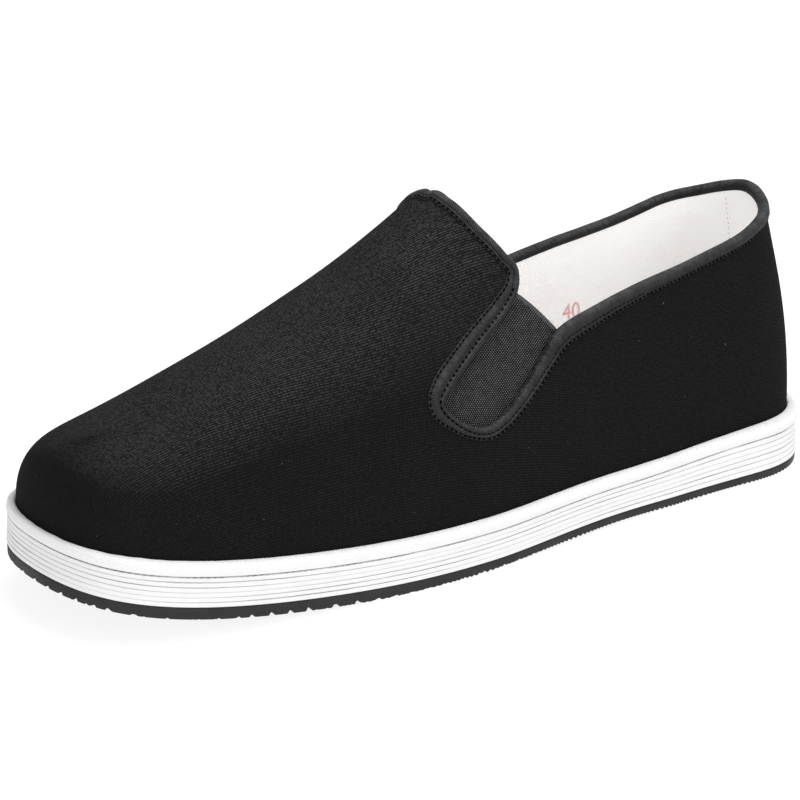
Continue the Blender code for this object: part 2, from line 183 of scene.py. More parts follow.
def spread_rows(table: Sequence[Sequence[float]], count: int) -> np.ndarray:
    """A table drawn out to a count of evenly spaced rows on its smooth curve."""
    return smooth_rows(np.array(table), np.linspace(0, len(table) - 1, count))


def unit(vectors: np.ndarray) -> np.ndarray:
    """Vectors scaled to length one."""
    return vectors / np.linalg.norm(vectors, axis=-1, keepdims=True)


def run_length(points: np.ndarray, axis: int = 0) -> np.ndarray:
    """Length run along a line or grid of points, from 0 at the first."""
    steps = np.linalg.norm(np.diff(points, axis=axis), axis=-1)
    return np.concatenate([0 * np.take(steps, [0], axis), np.cumsum(steps, axis=axis)], axis=axis)


def smooth_step(low: float, high: float, at: Places) -> np.ndarray:
    """A soft step from 0 at low to 1 at high."""
    share = np.clip((at - low) / (high - low), 0, 1)
    return share * share * (3 - 2 * share)


def joined(*values: Places) -> list[np.ndarray]:
    """Numbers and arrays brought to one shape."""
    return list(np.broadcast_arrays(*(np.asarray(value, float) for value in values)))


@dataclass(frozen=True)
class ShoeLast:
    """The last that every piece of the shoe follows, with its sizes in metres."""

    length: float = 270 * MM
    ball_width: float = 90 * MM
    height: float = 107 * MM
    wall: float = 1.8 * MM
    fit: float = 0.3 * MM
    lug_height: float = 1.2 * MM
    rubber_sheet: float = 1.7 * MM
    layers_height: float = 8.1 * MM
    heel_lift: float = 2.25 * MM        # how much thicker the layers are at the heel
    lift_start: float = 0.36
    lift_full: float = 0.12
    toe_spring: float = 13.0 * MM
    spring_start: float = 0.581
    spring_power: float = 2.3
    arch_rise: float = 0.8 * MM
    arch_middle: float = 0.407
    arch_reach: float = 0.148
    toe_swing: float = 3.4 * MM
    upper_inset: float = 2.4 * MM
    ridge_lift: float = 1.2 * MM
    ridge_back: float = 56 * MM
    ridge_front: float = 18.5 * MM
    ridge_shift: float = 0.8 * MM
    ridge_swing: float = 0.7
    side_bulge: float = 0.01
    heel_round: float = 0.03
    warp_meets: float = 0.60            # station where the low and the high warp lines agree
    outline: tuple[Breadth, ...] = (
        Breadth(0.00, 0.704, 0.704),
        Breadth(0.13, 0.716, 0.687),
        Breadth(0.26, 0.535, 0.481),
        Breadth(0.40, 0.428, 0.371),
        Breadth(0.54, 0.462, 0.478),
        Breadth(0.68, 0.493, 0.597),
        Breadth(0.84, 0.692, 0.886),
        Breadth(1.00, 1.104, 1.104),
    )
    ridge: tuple[Ridge, ...] = (
        Ridge(0.00, 1.000),
        Ridge(0.12, 0.984),
        Ridge(0.35, 0.898),
        Ridge(0.50, 0.735),
        Ridge(0.65, 0.572),
        Ridge(0.80, 0.427),
        Ridge(0.92, 0.315),
        Ridge(1.00, 0.263),
    )
    sections: tuple[Section, ...] = (
        Section(0.0, 2.40, 2.30),
        Section(0.2, 1.53, 2.03),
        Section(0.4, 1.47, 2.02),
        Section(0.5, 1.54, 2.09),
        Section(0.6, 2.12, 2.15),
        Section(0.8, 2.69, 2.43),
        Section(1.0, 2.70, 2.60),
    )
    mouth_rows: tuple[Mouth, ...] = (
        Mouth(0.0000, 37.4, 37.4),
        Mouth(0.0800, 38.5, 38.8),
        Mouth(0.1600, 40.6, 40.9),
        Mouth(0.2400, 41.0, 41.0),
        Mouth(0.3200, 38.7, 39.2),
        Mouth(0.4000, 36.0, 36.1),
        Mouth(0.4430, 35.2, 35.9),
        Mouth(0.4626, 32.7, 33.0),
        Mouth(0.4872, 28.9, 28.9),
        Mouth(0.5100, 25.5, 25.5),
        Mouth(0.5290, 24.1, 24.1),
        Mouth(0.5490, 26.6, 26.6),
        Mouth(0.5625, 32.0, 32.0),
        Mouth(0.5520, 36.8, 36.8),
        Mouth(0.5210, 42.8, 42.8),
        Mouth(0.4900, 46.1, 46.1),
        Mouth(0.4720, 48.2, 48.2),
        Mouth(0.4645, 51.5, 51.5),
        Mouth(0.4685, 56.5, 56.5, 0.0035),
        Mouth(0.4730, 67.0, 67.0, 0.0050),
        Mouth(0.4684, 79.0, 79.0, 0.0040),
        Mouth(0.4590, 90.0, 90.0),
    )
    warp: tuple[Lean, ...] = (
        Lean(0.00, 0.36, 0.36),
        Lean(0.40, 0.35, 0.35),
        Lean(0.45, 0.33, 0.20),
        Lean(0.50, 0.23, -0.08),
        Lean(0.54, 0.18, -0.10),
        Lean(0.58, 0.03, -0.08),
        Lean(0.62, -0.08, -0.09),
        Lean(0.66, -0.14, -0.12),
        Lean(0.70, -0.20, -0.17),
        Lean(0.74, -0.26, -0.23),
        Lean(0.78, -0.36, -0.33),
        Lean(0.82, -0.54, -0.52),
        Lean(0.86, -0.76, -0.76),
        Lean(0.90, -0.95, -0.95),
        Lean(0.95, -1.15, -1.15),
        Lean(1.00, -1.35, -1.35),
    )
    warp_turns: tuple[Lean, ...] = (    # rises between which the warp goes from its low to its high lines
        Lean(0.400, 42.0, 52.0),
        Lean(0.465, 35.0, 48.0),
        Lean(0.490, 30.0, 46.0),
        Lean(0.521, 27.0, 42.5),
        Lean(0.560, 28.0, 45.0),
    )
    creases: tuple[Crease, ...] = (
        Crease(1, 0.0, 36.0, 36.0, 10.0, 0.0, 0.75),        # the collar stands out a little over the heel
        Crease(-1, 0.0, 36.0, 36.0, 10.0, 0.0, 0.75),
        Crease(1, 0.470, 90.0, 26.0, 15.0, 0.0, 0.4),       # the throat's top stands up a little
        Crease(-1, 0.470, 90.0, 26.0, 15.0, 0.0, 0.4),
        Crease(1, 0.490, 15.0, 16.0, 3.4, 62.0, 0.32),      # lighter pull under the notch's rear corner
        Crease(1, 0.520, 16.0, 14.0, 3.0, 50.0, -0.30),
        Crease(1, 0.560, 14.0, 18.0, 4.5, 25.0, 0.22),
        Crease(1, 0.420, 16.0, 20.0, 5.0, 80.0, -0.28),     # hollows down the quarter
        Crease(1, 0.370, 20.0, 24.0, 6.5, 84.0, 0.30),
        Crease(1, 0.270, 24.0, 22.0, 7.0, 96.0, -0.34),
        Crease(1, 0.120, 20.0, 26.0, 6.0, 92.0, 0.28),
        Crease(1, 0.610, 62.0, 26.0, 8.0, 140.0, -0.30),    # slack over the ball
        Crease(1, 0.570, 48.0, 24.0, 7.0, 120.0, 0.26),
        Crease(1, 0.760, 22.0, 14.0, 4.0, 60.0, -0.16),
        Crease(-1, 0.490, 15.0, 16.0, 3.4, 62.0, 0.30),
        Crease(-1, 0.525, 16.0, 14.0, 3.0, 50.0, -0.30),
        Crease(-1, 0.400, 18.0, 22.0, 5.5, 82.0, -0.34),
        Crease(-1, 0.350, 20.0, 24.0, 6.5, 86.0, 0.30),
        Crease(-1, 0.250, 24.0, 22.0, 7.0, 96.0, -0.30),
        Crease(-1, 0.620, 52.0, 26.0, 7.0, 130.0, 0.28),
        Crease(-1, 0.580, 44.0, 24.0, 7.0, 120.0, -0.30),
    )

    @cached_property
    def curves(self) -> dict[str, Curve]:
        """The smooth curves through the tables, by column.

        Returns:
            Each curve under its column's name.
        """
        station, outer, inner = np.array(self.outline).T
        cut, side, crown = np.array(self.sections).T

        def rounded(values: np.ndarray) -> Curve:
            """A curve through the sections' values, without a crease at the heel's middle."""
            curve = natural_curve(cut, values)
            return lambda at: curve(np.sqrt(at ** 2 + self.heel_round ** 2))

        return {"outer": natural_curve(station, outer), "inner": natural_curve(station, inner),
                "ridge": natural_curve(*np.array(self.ridge).T),
                "side": rounded(side), "crown": rounded(crown)}

    @staticmethod
    def forward(station: Places) -> np.ndarray:
        """How far a station lies from the heel tip to the toe tip, along X."""
        return (1 - np.cos(np.pi * station)) / 2

    def raw_edge(self, station: np.ndarray, side: Places) -> np.ndarray:
        """The sole's edge off the line through the heel tip.

        Args:
            station: stations of the points.
            side: their sides.

        Returns:
            Y of each point, before the shoe is centred.
        """
        share = np.where(np.asarray(side) > 0, self.curves["outer"](station), self.curves["inner"](station))
        swing = self.toe_swing * self.forward(station) ** 2
        return side * self.ball_width * share * np.sin(np.pi * station) - swing

    @cached_property
    def plan_middle(self) -> float:
        """The middle of the sole's breadth off the line through the heel tip."""
        stations = np.linspace(0, 1, 201)
        return float((self.raw_edge(stations, 1.0).max() + self.raw_edge(stations, -1.0).min()) / 2)

    def edge(self, station: Places, side: Places, inset: Places = 0.0) -> np.ndarray:
        """Points of the sole's edge in plan, set in square to it.

        Args:
            station: stations of the points.
            side: their sides.
            inset: how far inside the edge.

        Returns:
            X and Y of each point.
        """
        station, side, inset = joined(station, side, inset)

        def plain(at: np.ndarray) -> np.ndarray:
            """The edge itself."""
            x = self.length * (self.forward(at) - 0.5)
            return np.stack([x, self.raw_edge(at, side) - self.plan_middle], -1)

        ahead = unit(plain(station + 1e-4) - plain(station - 1e-4))
        inward = np.stack([ahead[..., 1], -ahead[..., 0]], -1) * side[..., None]
        return plain(station) + inward * inset[..., None]

    def floor_level(self, x: Places) -> np.ndarray:
        """Height of the tread's lowest face at X: arch and toe spring.

        Args:
            x: X of the places.

        Returns:
            Height of each.
        """
        forward = x / self.length + 0.5
        spring = np.maximum(forward - self.spring_start, 0) / (1 - self.spring_start)
        arch = np.maximum(1 - ((forward - self.arch_middle) / self.arch_reach) ** 2, 0)
        return self.toe_spring * spring ** self.spring_power + self.arch_rise * arch ** 2

    def rubber_top(self, x: Places) -> np.ndarray:
        """Height of the rubber's upper face at X."""
        return self.floor_level(x) + self.lug_height + self.rubber_sheet

    def layer_level(self, x: Places, share: Places) -> np.ndarray:
        """Height in the layered sole at X, from its underside (0) to its upper face (1)."""
        ramp = 1 - smooth_step(self.lift_full, self.lift_start, x / self.length + 0.5)
        return self.rubber_top(x) + self.fit + share * (self.layers_height + self.heel_lift * ramp)

    def ridge_point(self, forward: np.ndarray) -> np.ndarray:
        """Points on the ridge, from its rear end (0) to its front end (1).

        Args:
            forward: how far each lies to the front.

        Returns:
            One point for each.
        """
        back, front = self.ridge_back - self.length / 2, self.length / 2 - self.ridge_front
        x = back + (front - back) * forward
        y = -self.plan_middle - self.ridge_shift - self.ridge_swing * self.toe_swing * forward ** 2
        base = self.rubber_top(x) + self.fit + self.layers_height + self.ridge_lift
        return np.stack([x, y, base + self.height * self.curves["ridge"](forward)], -1)

    def bare(self, station: Places, rise: Places, side: Places) -> np.ndarray:
        """Points on the outside of the upper, without creases.

        Args:
            station: stations of the points.
            rise: their rises, in degrees.
            side: their sides.

        Returns:
            One point for each place.
        """
        station, rise, side = joined(station, rise, side)
        foot = self.edge(station, side, self.upper_inset)
        foot_z = self.layer_level(foot[..., 0], 1) + self.fit
        forward, step = self.forward(station), 1e-4
        ridge = self.ridge_point(forward)
        run = self.ridge_point(forward + step) - self.ridge_point(forward - step)
        angle = np.radians(np.clip(rise, 0, 90))
        up = np.sin(angle) ** (2 / self.curves["side"](station))
        out = np.where(rise < 89.999, np.maximum(np.cos(angle), 0) ** (2 / self.curves["crown"](station)), 0)
        out = out * (1 + self.side_bulge * up * (1 - up))
        plan = ridge[..., :2] + (foot - ridge[..., :2]) * out[..., None]
        slope = run[..., 2] / run[..., 0]
        z = foot_z + (ridge[..., 2] - foot_z) * up + slope * (plan[..., 0] - ridge[..., 0]) * up
        return np.concatenate([plan, z[..., None]], -1)

    def normal(self, station: Places, rise: Places, side: Places) -> np.ndarray:
        """Outward directions of the last, at the same places as bare takes.

        Args:
            station: stations of the places.
            rise: their rises, in degrees.
            side: their sides.

        Returns:
            One direction for each place.
        """
        station, rise, side = joined(station, rise, side)
        step, turn = 1e-3, 0.2
        rise = np.clip(rise, turn, 90 - 2 * turn)
        along = self.bare(station + step, rise, side) - self.bare(station - step, rise, side)
        upward = self.bare(station, rise + turn, side) - self.bare(station, rise - turn, side)
        normal = -np.cross(along, upward) * side[..., None]
        normal[..., 1] = np.where(rise > 89, 0, normal[..., 1])
        return unit(normal)

    @cached_property
    def run_table(self) -> tuple[np.ndarray, np.ndarray]:
        """Stations and length along the foot of the upper."""
        stations = np.linspace(0, 1, 401)
        return stations, run_length(self.edge(stations, 1.0, self.upper_inset))

    def along(self, station: Places) -> np.ndarray:
        """Length along the foot of the upper, from the heel."""
        return np.interp(station, *self.run_table)

    @cached_property
    def girth_table(self) -> np.ndarray:
        """Length over the last from its foot to each degree of rise, for 161 stations."""
        stations, rises = np.meshgrid(np.linspace(0, 1, 161), np.linspace(0, 90, 91), indexing="ij")
        return run_length(self.bare(stations, rises, 1.0), axis=1)

    def girth(self, station: Places, rise: Places) -> np.ndarray:
        """Length over the last from its foot up to a place, read between the table's numbers.

        Args:
            station: stations of the places.
            rise: their rises, in degrees.

        Returns:
            Length for each place.
        """
        i, j = np.asarray(station, float) * 160, np.clip(np.asarray(rise, float), 0, 90)
        low_i, low_j = np.clip(i.astype(int), 0, 159), np.clip(j.astype(int), 0, 89)
        a, b, table = i - low_i, j - low_j, self.girth_table
        return ((1 - a) * (1 - b) * table[low_i, low_j] + a * (1 - b) * table[low_i + 1, low_j]
                + (1 - a) * b * table[low_i, low_j + 1] + a * b * table[low_i + 1, low_j + 1])

    def cloth_map(self, station: np.ndarray, rise: np.ndarray) -> np.ndarray:
        """Millimetres along and across the cloth's warp at a place, for the weave.

        Args:
            station: stations of the places.
            rise: their rises, in degrees.

        Returns:
            Two map coordinates for each place.
        """
        girth, (stations, length) = self.girth(station, rise), self.run_table
        turns, *bounds = np.array(self.warp_turns).T
        low, high = (np.interp(station, turns, bound) for bound in bounds)
        share = smooth_step(0, 1, (rise - low) / (high - low))
        slope, gain = 0.0, 0.0
        places, *slopes = np.array(self.warp).T
        for part, table in zip((1 - share, share), slopes):
            steep = np.interp(stations, places, table)
            gained = np.concatenate([[0], np.cumsum(np.diff(length) * (steep[1:] + steep[:-1]) / 2)])
            slope = slope + part * np.interp(station, places, table)
            start = np.interp(self.warp_meets, stations, gained)
            gain = gain + part * (np.interp(station, stations, gained) - start)
        return np.stack([self.along(station) + slope * girth, girth - gain], -1) / MM

    def relief(self, station: np.ndarray, rise: np.ndarray, side: np.ndarray) -> np.ndarray:
        """Height of the creases over the smooth last, at the same places as bare takes.

        Args:
            station: stations of the places.
            rise: their rises, in degrees.
            side: their sides.

        Returns:
            Height for each place.
        """
        along, girth = self.along(station), self.girth(station, rise)
        total = np.zeros(along.shape)
        for crease in self.creases:
            du = (along - self.along(crease.station)) / MM
            dv = (girth - self.girth(crease.station, crease.rise)) / MM
            cos, sin = math.cos(math.radians(crease.turn)), math.sin(math.radians(crease.turn))
            far, wide = (du * cos + dv * sin) / crease.length, (dv * cos - du * sin) / crease.width
            total = total + np.where(side == crease.side, crease.height, 0) * np.exp(-far ** 2 - wide ** 2)
        foot_pucker = np.exp(-girth / (3.2 * MM)) * np.sin(along / (1.35 * MM) + 2 * np.sin(along / (9 * MM)))
        curved = 0.25 + smooth_step(0.78, 0.92, station) + 1 - smooth_step(0.05, 0.16, station)
        total = total * smooth_step(0, 9 * MM, girth) * (1 - smooth_step(76, 90, rise))
        return (total + 0.05 * foot_pucker * curved) * MM

    def place(self, station: Places, rise: Places, side: Places, out: Places = 0.0) -> np.ndarray:
        """Points of the creased cloth.

        Args:
            station: stations of the points.
            rise: their rises, in degrees.
            side: their sides.
            out: how far outside the cloth's face, or inside if negative.

        Returns:
            One point for each place.
        """
        station, rise, side, out = joined(station, rise, side, out)
        lift = out + self.relief(station, rise, side)
        return self.bare(station, rise, side) + self.normal(station, rise, side) * lift[..., None]

    def mouth(self, rows: np.ndarray, side: float = 1.0) -> np.ndarray:
        """Station and rise on one side of the upper's mouth, at fractional rows of its table.

        Args:
            rows: the rows.
            side: the side.

        Returns:
            Station and rise for each row.
        """
        station, rise, inner, shift = np.array(self.mouth_rows).T
        both = [np.stack([station, rise], 1), np.stack([station + shift, inner], 1)]
        table, other = both if side > 0 else both[::-1]
        return smooth_rows(table, rows, other[1] * (-1, 1), other[-2] * (1, -1) + (0, 180))


NOTCH_TOP, NOTCH_BOTTOM, NOTCH_TIP, THROAT_CORNER, THROAT_TOP = 6, 10, 12, 16, 21      # rows of the mouth


class Signal:
    """A node's output, which takes plain sums with numbers and other outputs."""

    def __init__(self, board: "Board", socket: bpy.types.NodeSocket) -> None:
        """Hold an output of a board's node."""
        self.board, self.socket = board, socket

    def __add__(self, other: object) -> "Signal":
        """The sum."""
        return self.board.maths("ADD", self, other)

    def __sub__(self, other: object) -> "Signal":
        """The difference."""
        return self.board.maths("SUBTRACT", self, other)

    def __mul__(self, other: object) -> "Signal":
        """The product."""
        return self.board.maths("MULTIPLY", self, other)

    def __truediv__(self, other: object) -> "Signal":
        """The quotient."""
        return self.board.maths("DIVIDE", self, other)

    def remap(self, low: float, high: float, start: float = 0.0, end: float = 1.0) -> "Signal":
        """A number carried from one range to another, and kept inside it."""
        feeds = dict(enumerate((self, low, high, start, end)))
        return self.board.out("ShaderNodeMapRange", feeds, clamp=True)


class Board:
    """A node tree that is being wired."""

    def __init__(self, tree: bpy.types.NodeTree) -> None:
        """Start wiring a tree."""
        self.tree = tree

    def node(self, kind: str, feeds: Optional[Feeds] = None, **settings: object) -> bpy.types.Node:
        """Add a node.

        Args:
            kind: the node's type name.
            feeds: what goes into its inputs, by name or number.
            settings: properties to set on it.

        Returns:
            The new node.
        """
        node = self.tree.nodes.new(kind)
        for name, value in settings.items():
            setattr(node, name, value)
        self.feed(node, feeds or {})
        return node

    def feed(self, node: bpy.types.Node, feeds: Feeds) -> None:
        """Link a node's inputs to outputs, or set their values.

        Args:
            node: the node.
            feeds: what goes into its inputs, by name or number.
        """
        for key, value in feeds.items():
            socket = node.inputs[key]
            if isinstance(value, Signal):
                self.tree.links.new(value.socket, socket)
            else:
                socket.default_value = (*value, 1.0) if socket.type == "RGBA" else value

    def out(self, kind: str, feeds: Optional[Feeds] = None, output: Union[int, str] = 0,
            **settings: object) -> Signal:
        """Add a node as above and give one of its outputs."""
        return Signal(self, self.node(kind, feeds, **settings).outputs[output])

    def maths(self, operation: str, *values: object, clamp: bool = False) -> Signal:
        """A sum on one or more numbers."""
        return self.out("ShaderNodeMath", dict(enumerate(values)), operation=operation, use_clamp=clamp)

    def wave(self, turns: Signal) -> Signal:
        """A wave from 0 to 1, one for each whole turn."""
        return self.maths("SINE", turns * (2 * math.pi)) * 0.5 + 0.5

    def mix(self, factor: Signal, low: object, high: object) -> Signal:
        """A colour between two colours."""
        return self.out("ShaderNodeMix", {0: factor, 6: low, 7: high}, 2, data_type="RGBA", clamp_factor=True)

    def noise(self, vector: Signal, scale: object, detail: float = 2.0) -> Signal:
        """Soft noise from 0 to 1."""
        return self.out("ShaderNodeTexNoise", {"Vector": vector, "Scale": scale, "Detail": detail})

    def split(self, vector: Signal) -> list[Signal]:
        """A vector's three numbers."""
        return [Signal(self, socket) for socket in self.node("ShaderNodeSeparateXYZ", {0: vector}).outputs]

    def join(self, *numbers: object) -> Signal:
        """A vector from its numbers."""
        return self.out("ShaderNodeCombineXYZ", dict(enumerate(numbers)))

    def use(self, group: bpy.types.NodeTree, **values: object) -> list[Signal]:
        """Place a shader group and give its outputs; blanks in its inputs' names are underscores.

        Args:
            group: the group.
            values: what goes into its inputs, by name.

        Returns:
            Its outputs, in order.
        """
        node = self.tree.nodes.new("ShaderNodeGroup")
        node.node_tree = group
        self.feed(node, {name.replace("_", " "): value for name, value in values.items()})
        return [Signal(self, socket) for socket in node.outputs]


class Group(Board):
    """A shared shader group that is being wired."""

    def __init__(self, name: str, vector: str, **numbers: float) -> None:
        """Start a group.

        Args:
            name: its name.
            vector: name of its first input, a vector.
            numbers: first values of its other inputs, with blanks in their names as underscores.
        """
        super().__init__(bpy.data.node_groups.new(name, "ShaderNodeTree"))
        self.tree.interface.new_socket(vector, in_out="INPUT", socket_type="NodeSocketVector")
        for label, value in numbers.items():
            socket = self.tree.interface.new_socket(label.replace("_", " "), in_out="INPUT",
                                                    socket_type="NodeSocketFloat")
            socket.default_value = value
        sockets = self.node("NodeGroupInput").outputs[:len(numbers) + 1]
        self.given = [Signal(self, socket) for socket in sockets]

    def give(self, **outputs: Signal) -> bpy.types.NodeTree:
        """Close the group with its named outputs, all plain numbers.

        Args:
            outputs: what each gives.

        Returns:
            The finished group.
        """
        for label in outputs:
            self.tree.interface.new_socket(label, in_out="OUTPUT", socket_type="NodeSocketFloat")
        self.node("NodeGroupOutput", outputs)
        return self.tree


class Effects:
    """The shared shader groups, each made once."""

    @cached_property
    def ribbed_weave(self) -> bpy.types.NodeTree:
        """Ribs along the warp with short threads over them, from a map in millimetres.

        Returns:
            The group.
        """
        board = Group("ribbed_weave", "Map", Rib_Pitch=0.8, Thread_Pitch=0.6, Waver=0.3)
        cloth, rib_pitch, thread_pitch, waver = board.given
        x, y, _ = board.split(cloth)
        sway = (board.noise(cloth, 0.22, 3.0) - 0.5) * waver
        ribs = board.wave((y + sway) / rib_pitch)
        threads = board.wave((y * 0.23 + x + sway * 0.8) / thread_pitch)
        return board.give(Ribs=ribs, Threads=threads, Relief=ribs * (threads * 0.5 + 0.5))

    @cached_property
    def diagonal_weave(self) -> bpy.types.NodeTree:
        """Slanting lines of a twill, from a map in millimetres.

        Returns:
            The group.
        """
        board = Group("diagonal_weave", "Map", Pitch=0.9, Slant=0.7, Waver=0.4)
        cloth, pitch, slant, waver = board.given
        x, y, _ = board.split(cloth)
        sway = board.noise(cloth, 0.35) - 0.5
        lines = board.wave((y * slant + x + sway * waver) / pitch)
        cross = board.maths("SINE", y / pitch * (4 * math.pi))
        return board.give(Relief=lines * (cross * 0.2 + 0.8))

    @cached_property
    def soft_tone(self) -> bpy.types.NodeTree:
        """Broad uneven tone over a piece, from 0 to 1, from places in metres.

        Returns:
            The group.
        """
        board = Group("soft_tone", "Place", Patch_Size=0.03, Contrast=1.0)
        place, patch, contrast = board.given
        tone = board.noise(place, board.maths("DIVIDE", 1.0, patch), 4.0) - 0.5
        return board.give(Tone=board.maths("MULTIPLY_ADD", tone, contrast, 0.5, clamp=True))

    @cached_property
    def lint(self) -> bpy.types.NodeTree:
        """Sparse pale specks of fluff, from places in metres.

        Returns:
            The group.
        """
        board = Group("lint", "Place", Speck_Size=0.0012, Amount=0.06)
        place, size, amount = board.given
        scale = board.maths("DIVIDE", 0.25, size)
        cells = board.node("ShaderNodeTexVoronoi", {"Vector": place, "Scale": scale}, feature="F1")
        near = Signal(board, cells.outputs["Distance"]).remap(0.06, 0.11, 1.0, 0.0)
        pick = board.out("ShaderNodeSeparateColor", {0: Signal(board, cells.outputs["Color"])})
        return board.give(Specks=near * board.maths("LESS_THAN", pick, amount))


EFFECTS = Effects()


class Paint(Board):
    """A material that is being wired, with the cloth's map in millimetres and places in metres."""

    def __init__(self, name: str) -> None:
        """Start a material.

        Args:
            name: its name.
        """
        self.material = bpy.data.materials.new(name)
        self.material.use_nodes = True
        super().__init__(self.material.node_tree)
        self.cloth = self.out("ShaderNodeUVMap", uv_map=WEAVE)
        self.place = self.out("ShaderNodeTexCoord", output="Object")

    def tone(self, patch: float, contrast: float) -> Signal:
        """Uneven tone from 0 to 1, in patches of a size in metres."""
        return self.use(EFFECTS.soft_tone, Place=self.place, Patch_Size=patch, Contrast=contrast)[0]

    def upward(self) -> Signal:
        """How far the surface faces up."""
        return self.split(self.out("ShaderNodeNewGeometry", output="Normal"))[2]


class Look(NamedTuple):
    """What a finish feeds into its shader."""

    colour: Signal
    height: Signal                      # of the bump, from 0 to 1
    depth: float                        # of the bump, in metres
    strength: float = 1.0
    roughness: Optional[Signal] = None
    painted_glow: float = 0.0                   # strength of a painted glow that lifts the cloth out of its shade
    painted_glow_colour: Colour = (1.0, 1.0, 1.0)


@dataclass(frozen=True)
class Finish:
    """What every finish shares: name, roughness, level of the plain reflection and weight of the fuzz."""

    name: str
    roughness: float
    specular: float
    sheen: float = 0.0

    def look(self, paint: Paint) -> Look:
        """Work out the finish."""
        raise NotImplementedError

    def build(self) -> bpy.types.Material:
        """Make the material.

        Returns:
            The material.
        """
        paint = Paint(self.name)
        look = self.look(paint)
        bump = paint.out("ShaderNodeBump",
                         {"Strength": look.strength, "Distance": look.depth, "Height": look.height})
        # the emission is a painted glow that brightens shade; it is no lamp
        paint.feed(paint.tree.nodes["Principled BSDF"], {
            "Base Color": look.colour, "Normal": bump, "Roughness": look.roughness or self.roughness,
            "Specular IOR Level": self.specular, "Sheen Weight": self.sheen, "Sheen Roughness": 0.45,
            "Emission Color": look.painted_glow_colour, "Emission Strength": look.painted_glow})
        return paint.material


@dataclass(frozen=True)
class RibbedCloth(Finish):
    """Black ribbed cloth of the upper, with painted top light where it faces up and painted shade towards the
    toe.
    """

    name: str = "black_ribbed_cloth"
    roughness: float = 0.95
    specular: float = 0.06
    # painted light: valley and rib colours for lit faces, then painted shade copies of them for faces turned
    # from the light
    lit_valley: Colour = (0.006, 0.006, 0.0062)
    lit_rib: Colour = (0.067, 0.067, 0.069)
    shaded_valley: Colour = (0.0046, 0.0046, 0.0047)
    shaded_rib: Colour = (0.0120, 0.0120, 0.0123)
    fluff: Colour = (0.10, 0.10, 0.10)
    rib_pitch: float = 0.80
    thread_pitch: float = 0.95
    painted_toe_shade: float = 3.0             # how much the painted top light gives way to painted shade for each metre to the toe

    def look(self, paint: Paint) -> Look:
        """Ribs, painted top light, painted shade towards the toe, and two sizes of lint.

        Args:
            paint: the material that is being wired.

        Returns:
            What goes into its shader.
        """
        *_, relief = paint.use(EFFECTS.ribbed_weave, Map=paint.cloth, Rib_Pitch=self.rib_pitch,
                               Thread_Pitch=self.thread_pitch, Waver=0.5)
        specks = paint.maths("MAXIMUM", *(
            paint.use(EFFECTS.lint, Place=paint.place, Speck_Size=size, Amount=amount)[0]
            for size, amount in ((0.0009, 0.012), (0.0005, 0.05))))
        share = relief * paint.tone(0.018, 1.6).remap(0.2, 0.8, 0.72, 1.1)
        share = share * paint.tone(0.0007, 2.0).remap(0.3, 0.7, 0.30, 1.65)
        # painted light: the colour is lighter where the cloth faces up and darker towards the toe, as the
        # light falls
        ahead = paint.maths("MAXIMUM", paint.split(paint.place)[0], 0.0)
        painted_top_light = (ahead * -self.painted_toe_shade + paint.upward()).remap(0.24, 0.82)
        colour = paint.mix(share, paint.mix(painted_top_light, self.shaded_valley, self.lit_valley),
                           paint.mix(painted_top_light, self.shaded_rib, self.lit_rib))
        return Look(paint.mix(specks * 0.6, colour, self.fluff), relief * painted_top_light.remap(0.0, 1.0, 0.5, 1.0),
                    0.32 * MM, 0.9)


@dataclass(frozen=True)
class SatinTape(Finish):
    """Black tape of the bindings, with fine cross ribs, small puckers, a soft shine, and painted highlights
    on the puckers and on its upper face.
    """

    name: str = "black_satin_tape"
    roughness: float = 0.5
    specular: float = 0.25
    ground: Colour = (0.0035, 0.0035, 0.0036)
    # the light end of the colour: raised threads and painted highlights
    raised_and_highlight: Colour = (0.085, 0.085, 0.087)

    def look(self, paint: Paint) -> Look:
        """Cross ribs and puckers, with the puckers' light and shade painted in and painted top light where
        the tape faces up.

        Args:
            paint: the material that is being wired.

        Returns:
            What goes into its shader.
        """
        relief, = paint.use(EFFECTS.diagonal_weave, Map=paint.cloth, Pitch=0.55, Slant=0.35, Waver=0.5)
        tone = paint.tone(0.004, 1.8)
        x, y, _ = paint.split(paint.cloth)
        pucker = paint.noise(paint.join(x, y * 0.45), 0.95, 3.0)
        # painted light and shade of the puckers, carried by the pucker noise
        share = relief * tone.remap(0.2, 0.8, 0.5, 1.2) * pucker.remap(0.36, 0.66, 0.30, 1.2)
        # painted top light: brighter where the tape faces up
        share = share * paint.maths("POWER", paint.upward().remap(0.0, 0.95, 0.34, 1.38), 2.2)
        return Look(paint.mix(share, self.ground, self.raised_and_highlight), relief * 0.3 + pucker, 0.50 * MM,
                    roughness=tone.remap(0.2, 0.8, 0.62, 0.42))


@dataclass(frozen=True)
class ElasticWeb(Finish):
    """Black elastic webbing with columns of small bright stitches."""

    name: str = "black_elastic_web"
    roughness: float = 0.7
    specular: float = 0.12
    gap: Colour = (0.0004, 0.0004, 0.0004)
    loop: Colour = (0.21, 0.21, 0.215)

    def look(self, paint: Paint) -> Look:
        """Bright dots in columns, and a plain hem.

        Args:
            paint: the material that is being wired.

        Returns:
            What goes into its shader.
        """
        ribs, threads, relief = paint.use(EFFECTS.ribbed_weave, Map=paint.cloth, Rib_Pitch=0.72,
                                          Thread_Pitch=0.66, Waver=0.15)
        hem = paint.split(paint.cloth)[0].remap(1.1, 1.4, 1.0, 0.0)
        tone = paint.tone(0.002, 1.5).remap(0.2, 0.8, 0.6, 1.25)
        dots = paint.maths("MAXIMUM", paint.maths("POWER", ribs * threads, 1.8) * tone, hem * 0.3)
        return Look(paint.mix(dots, self.gap, self.loop), relief, 0.4 * MM, 0.9)


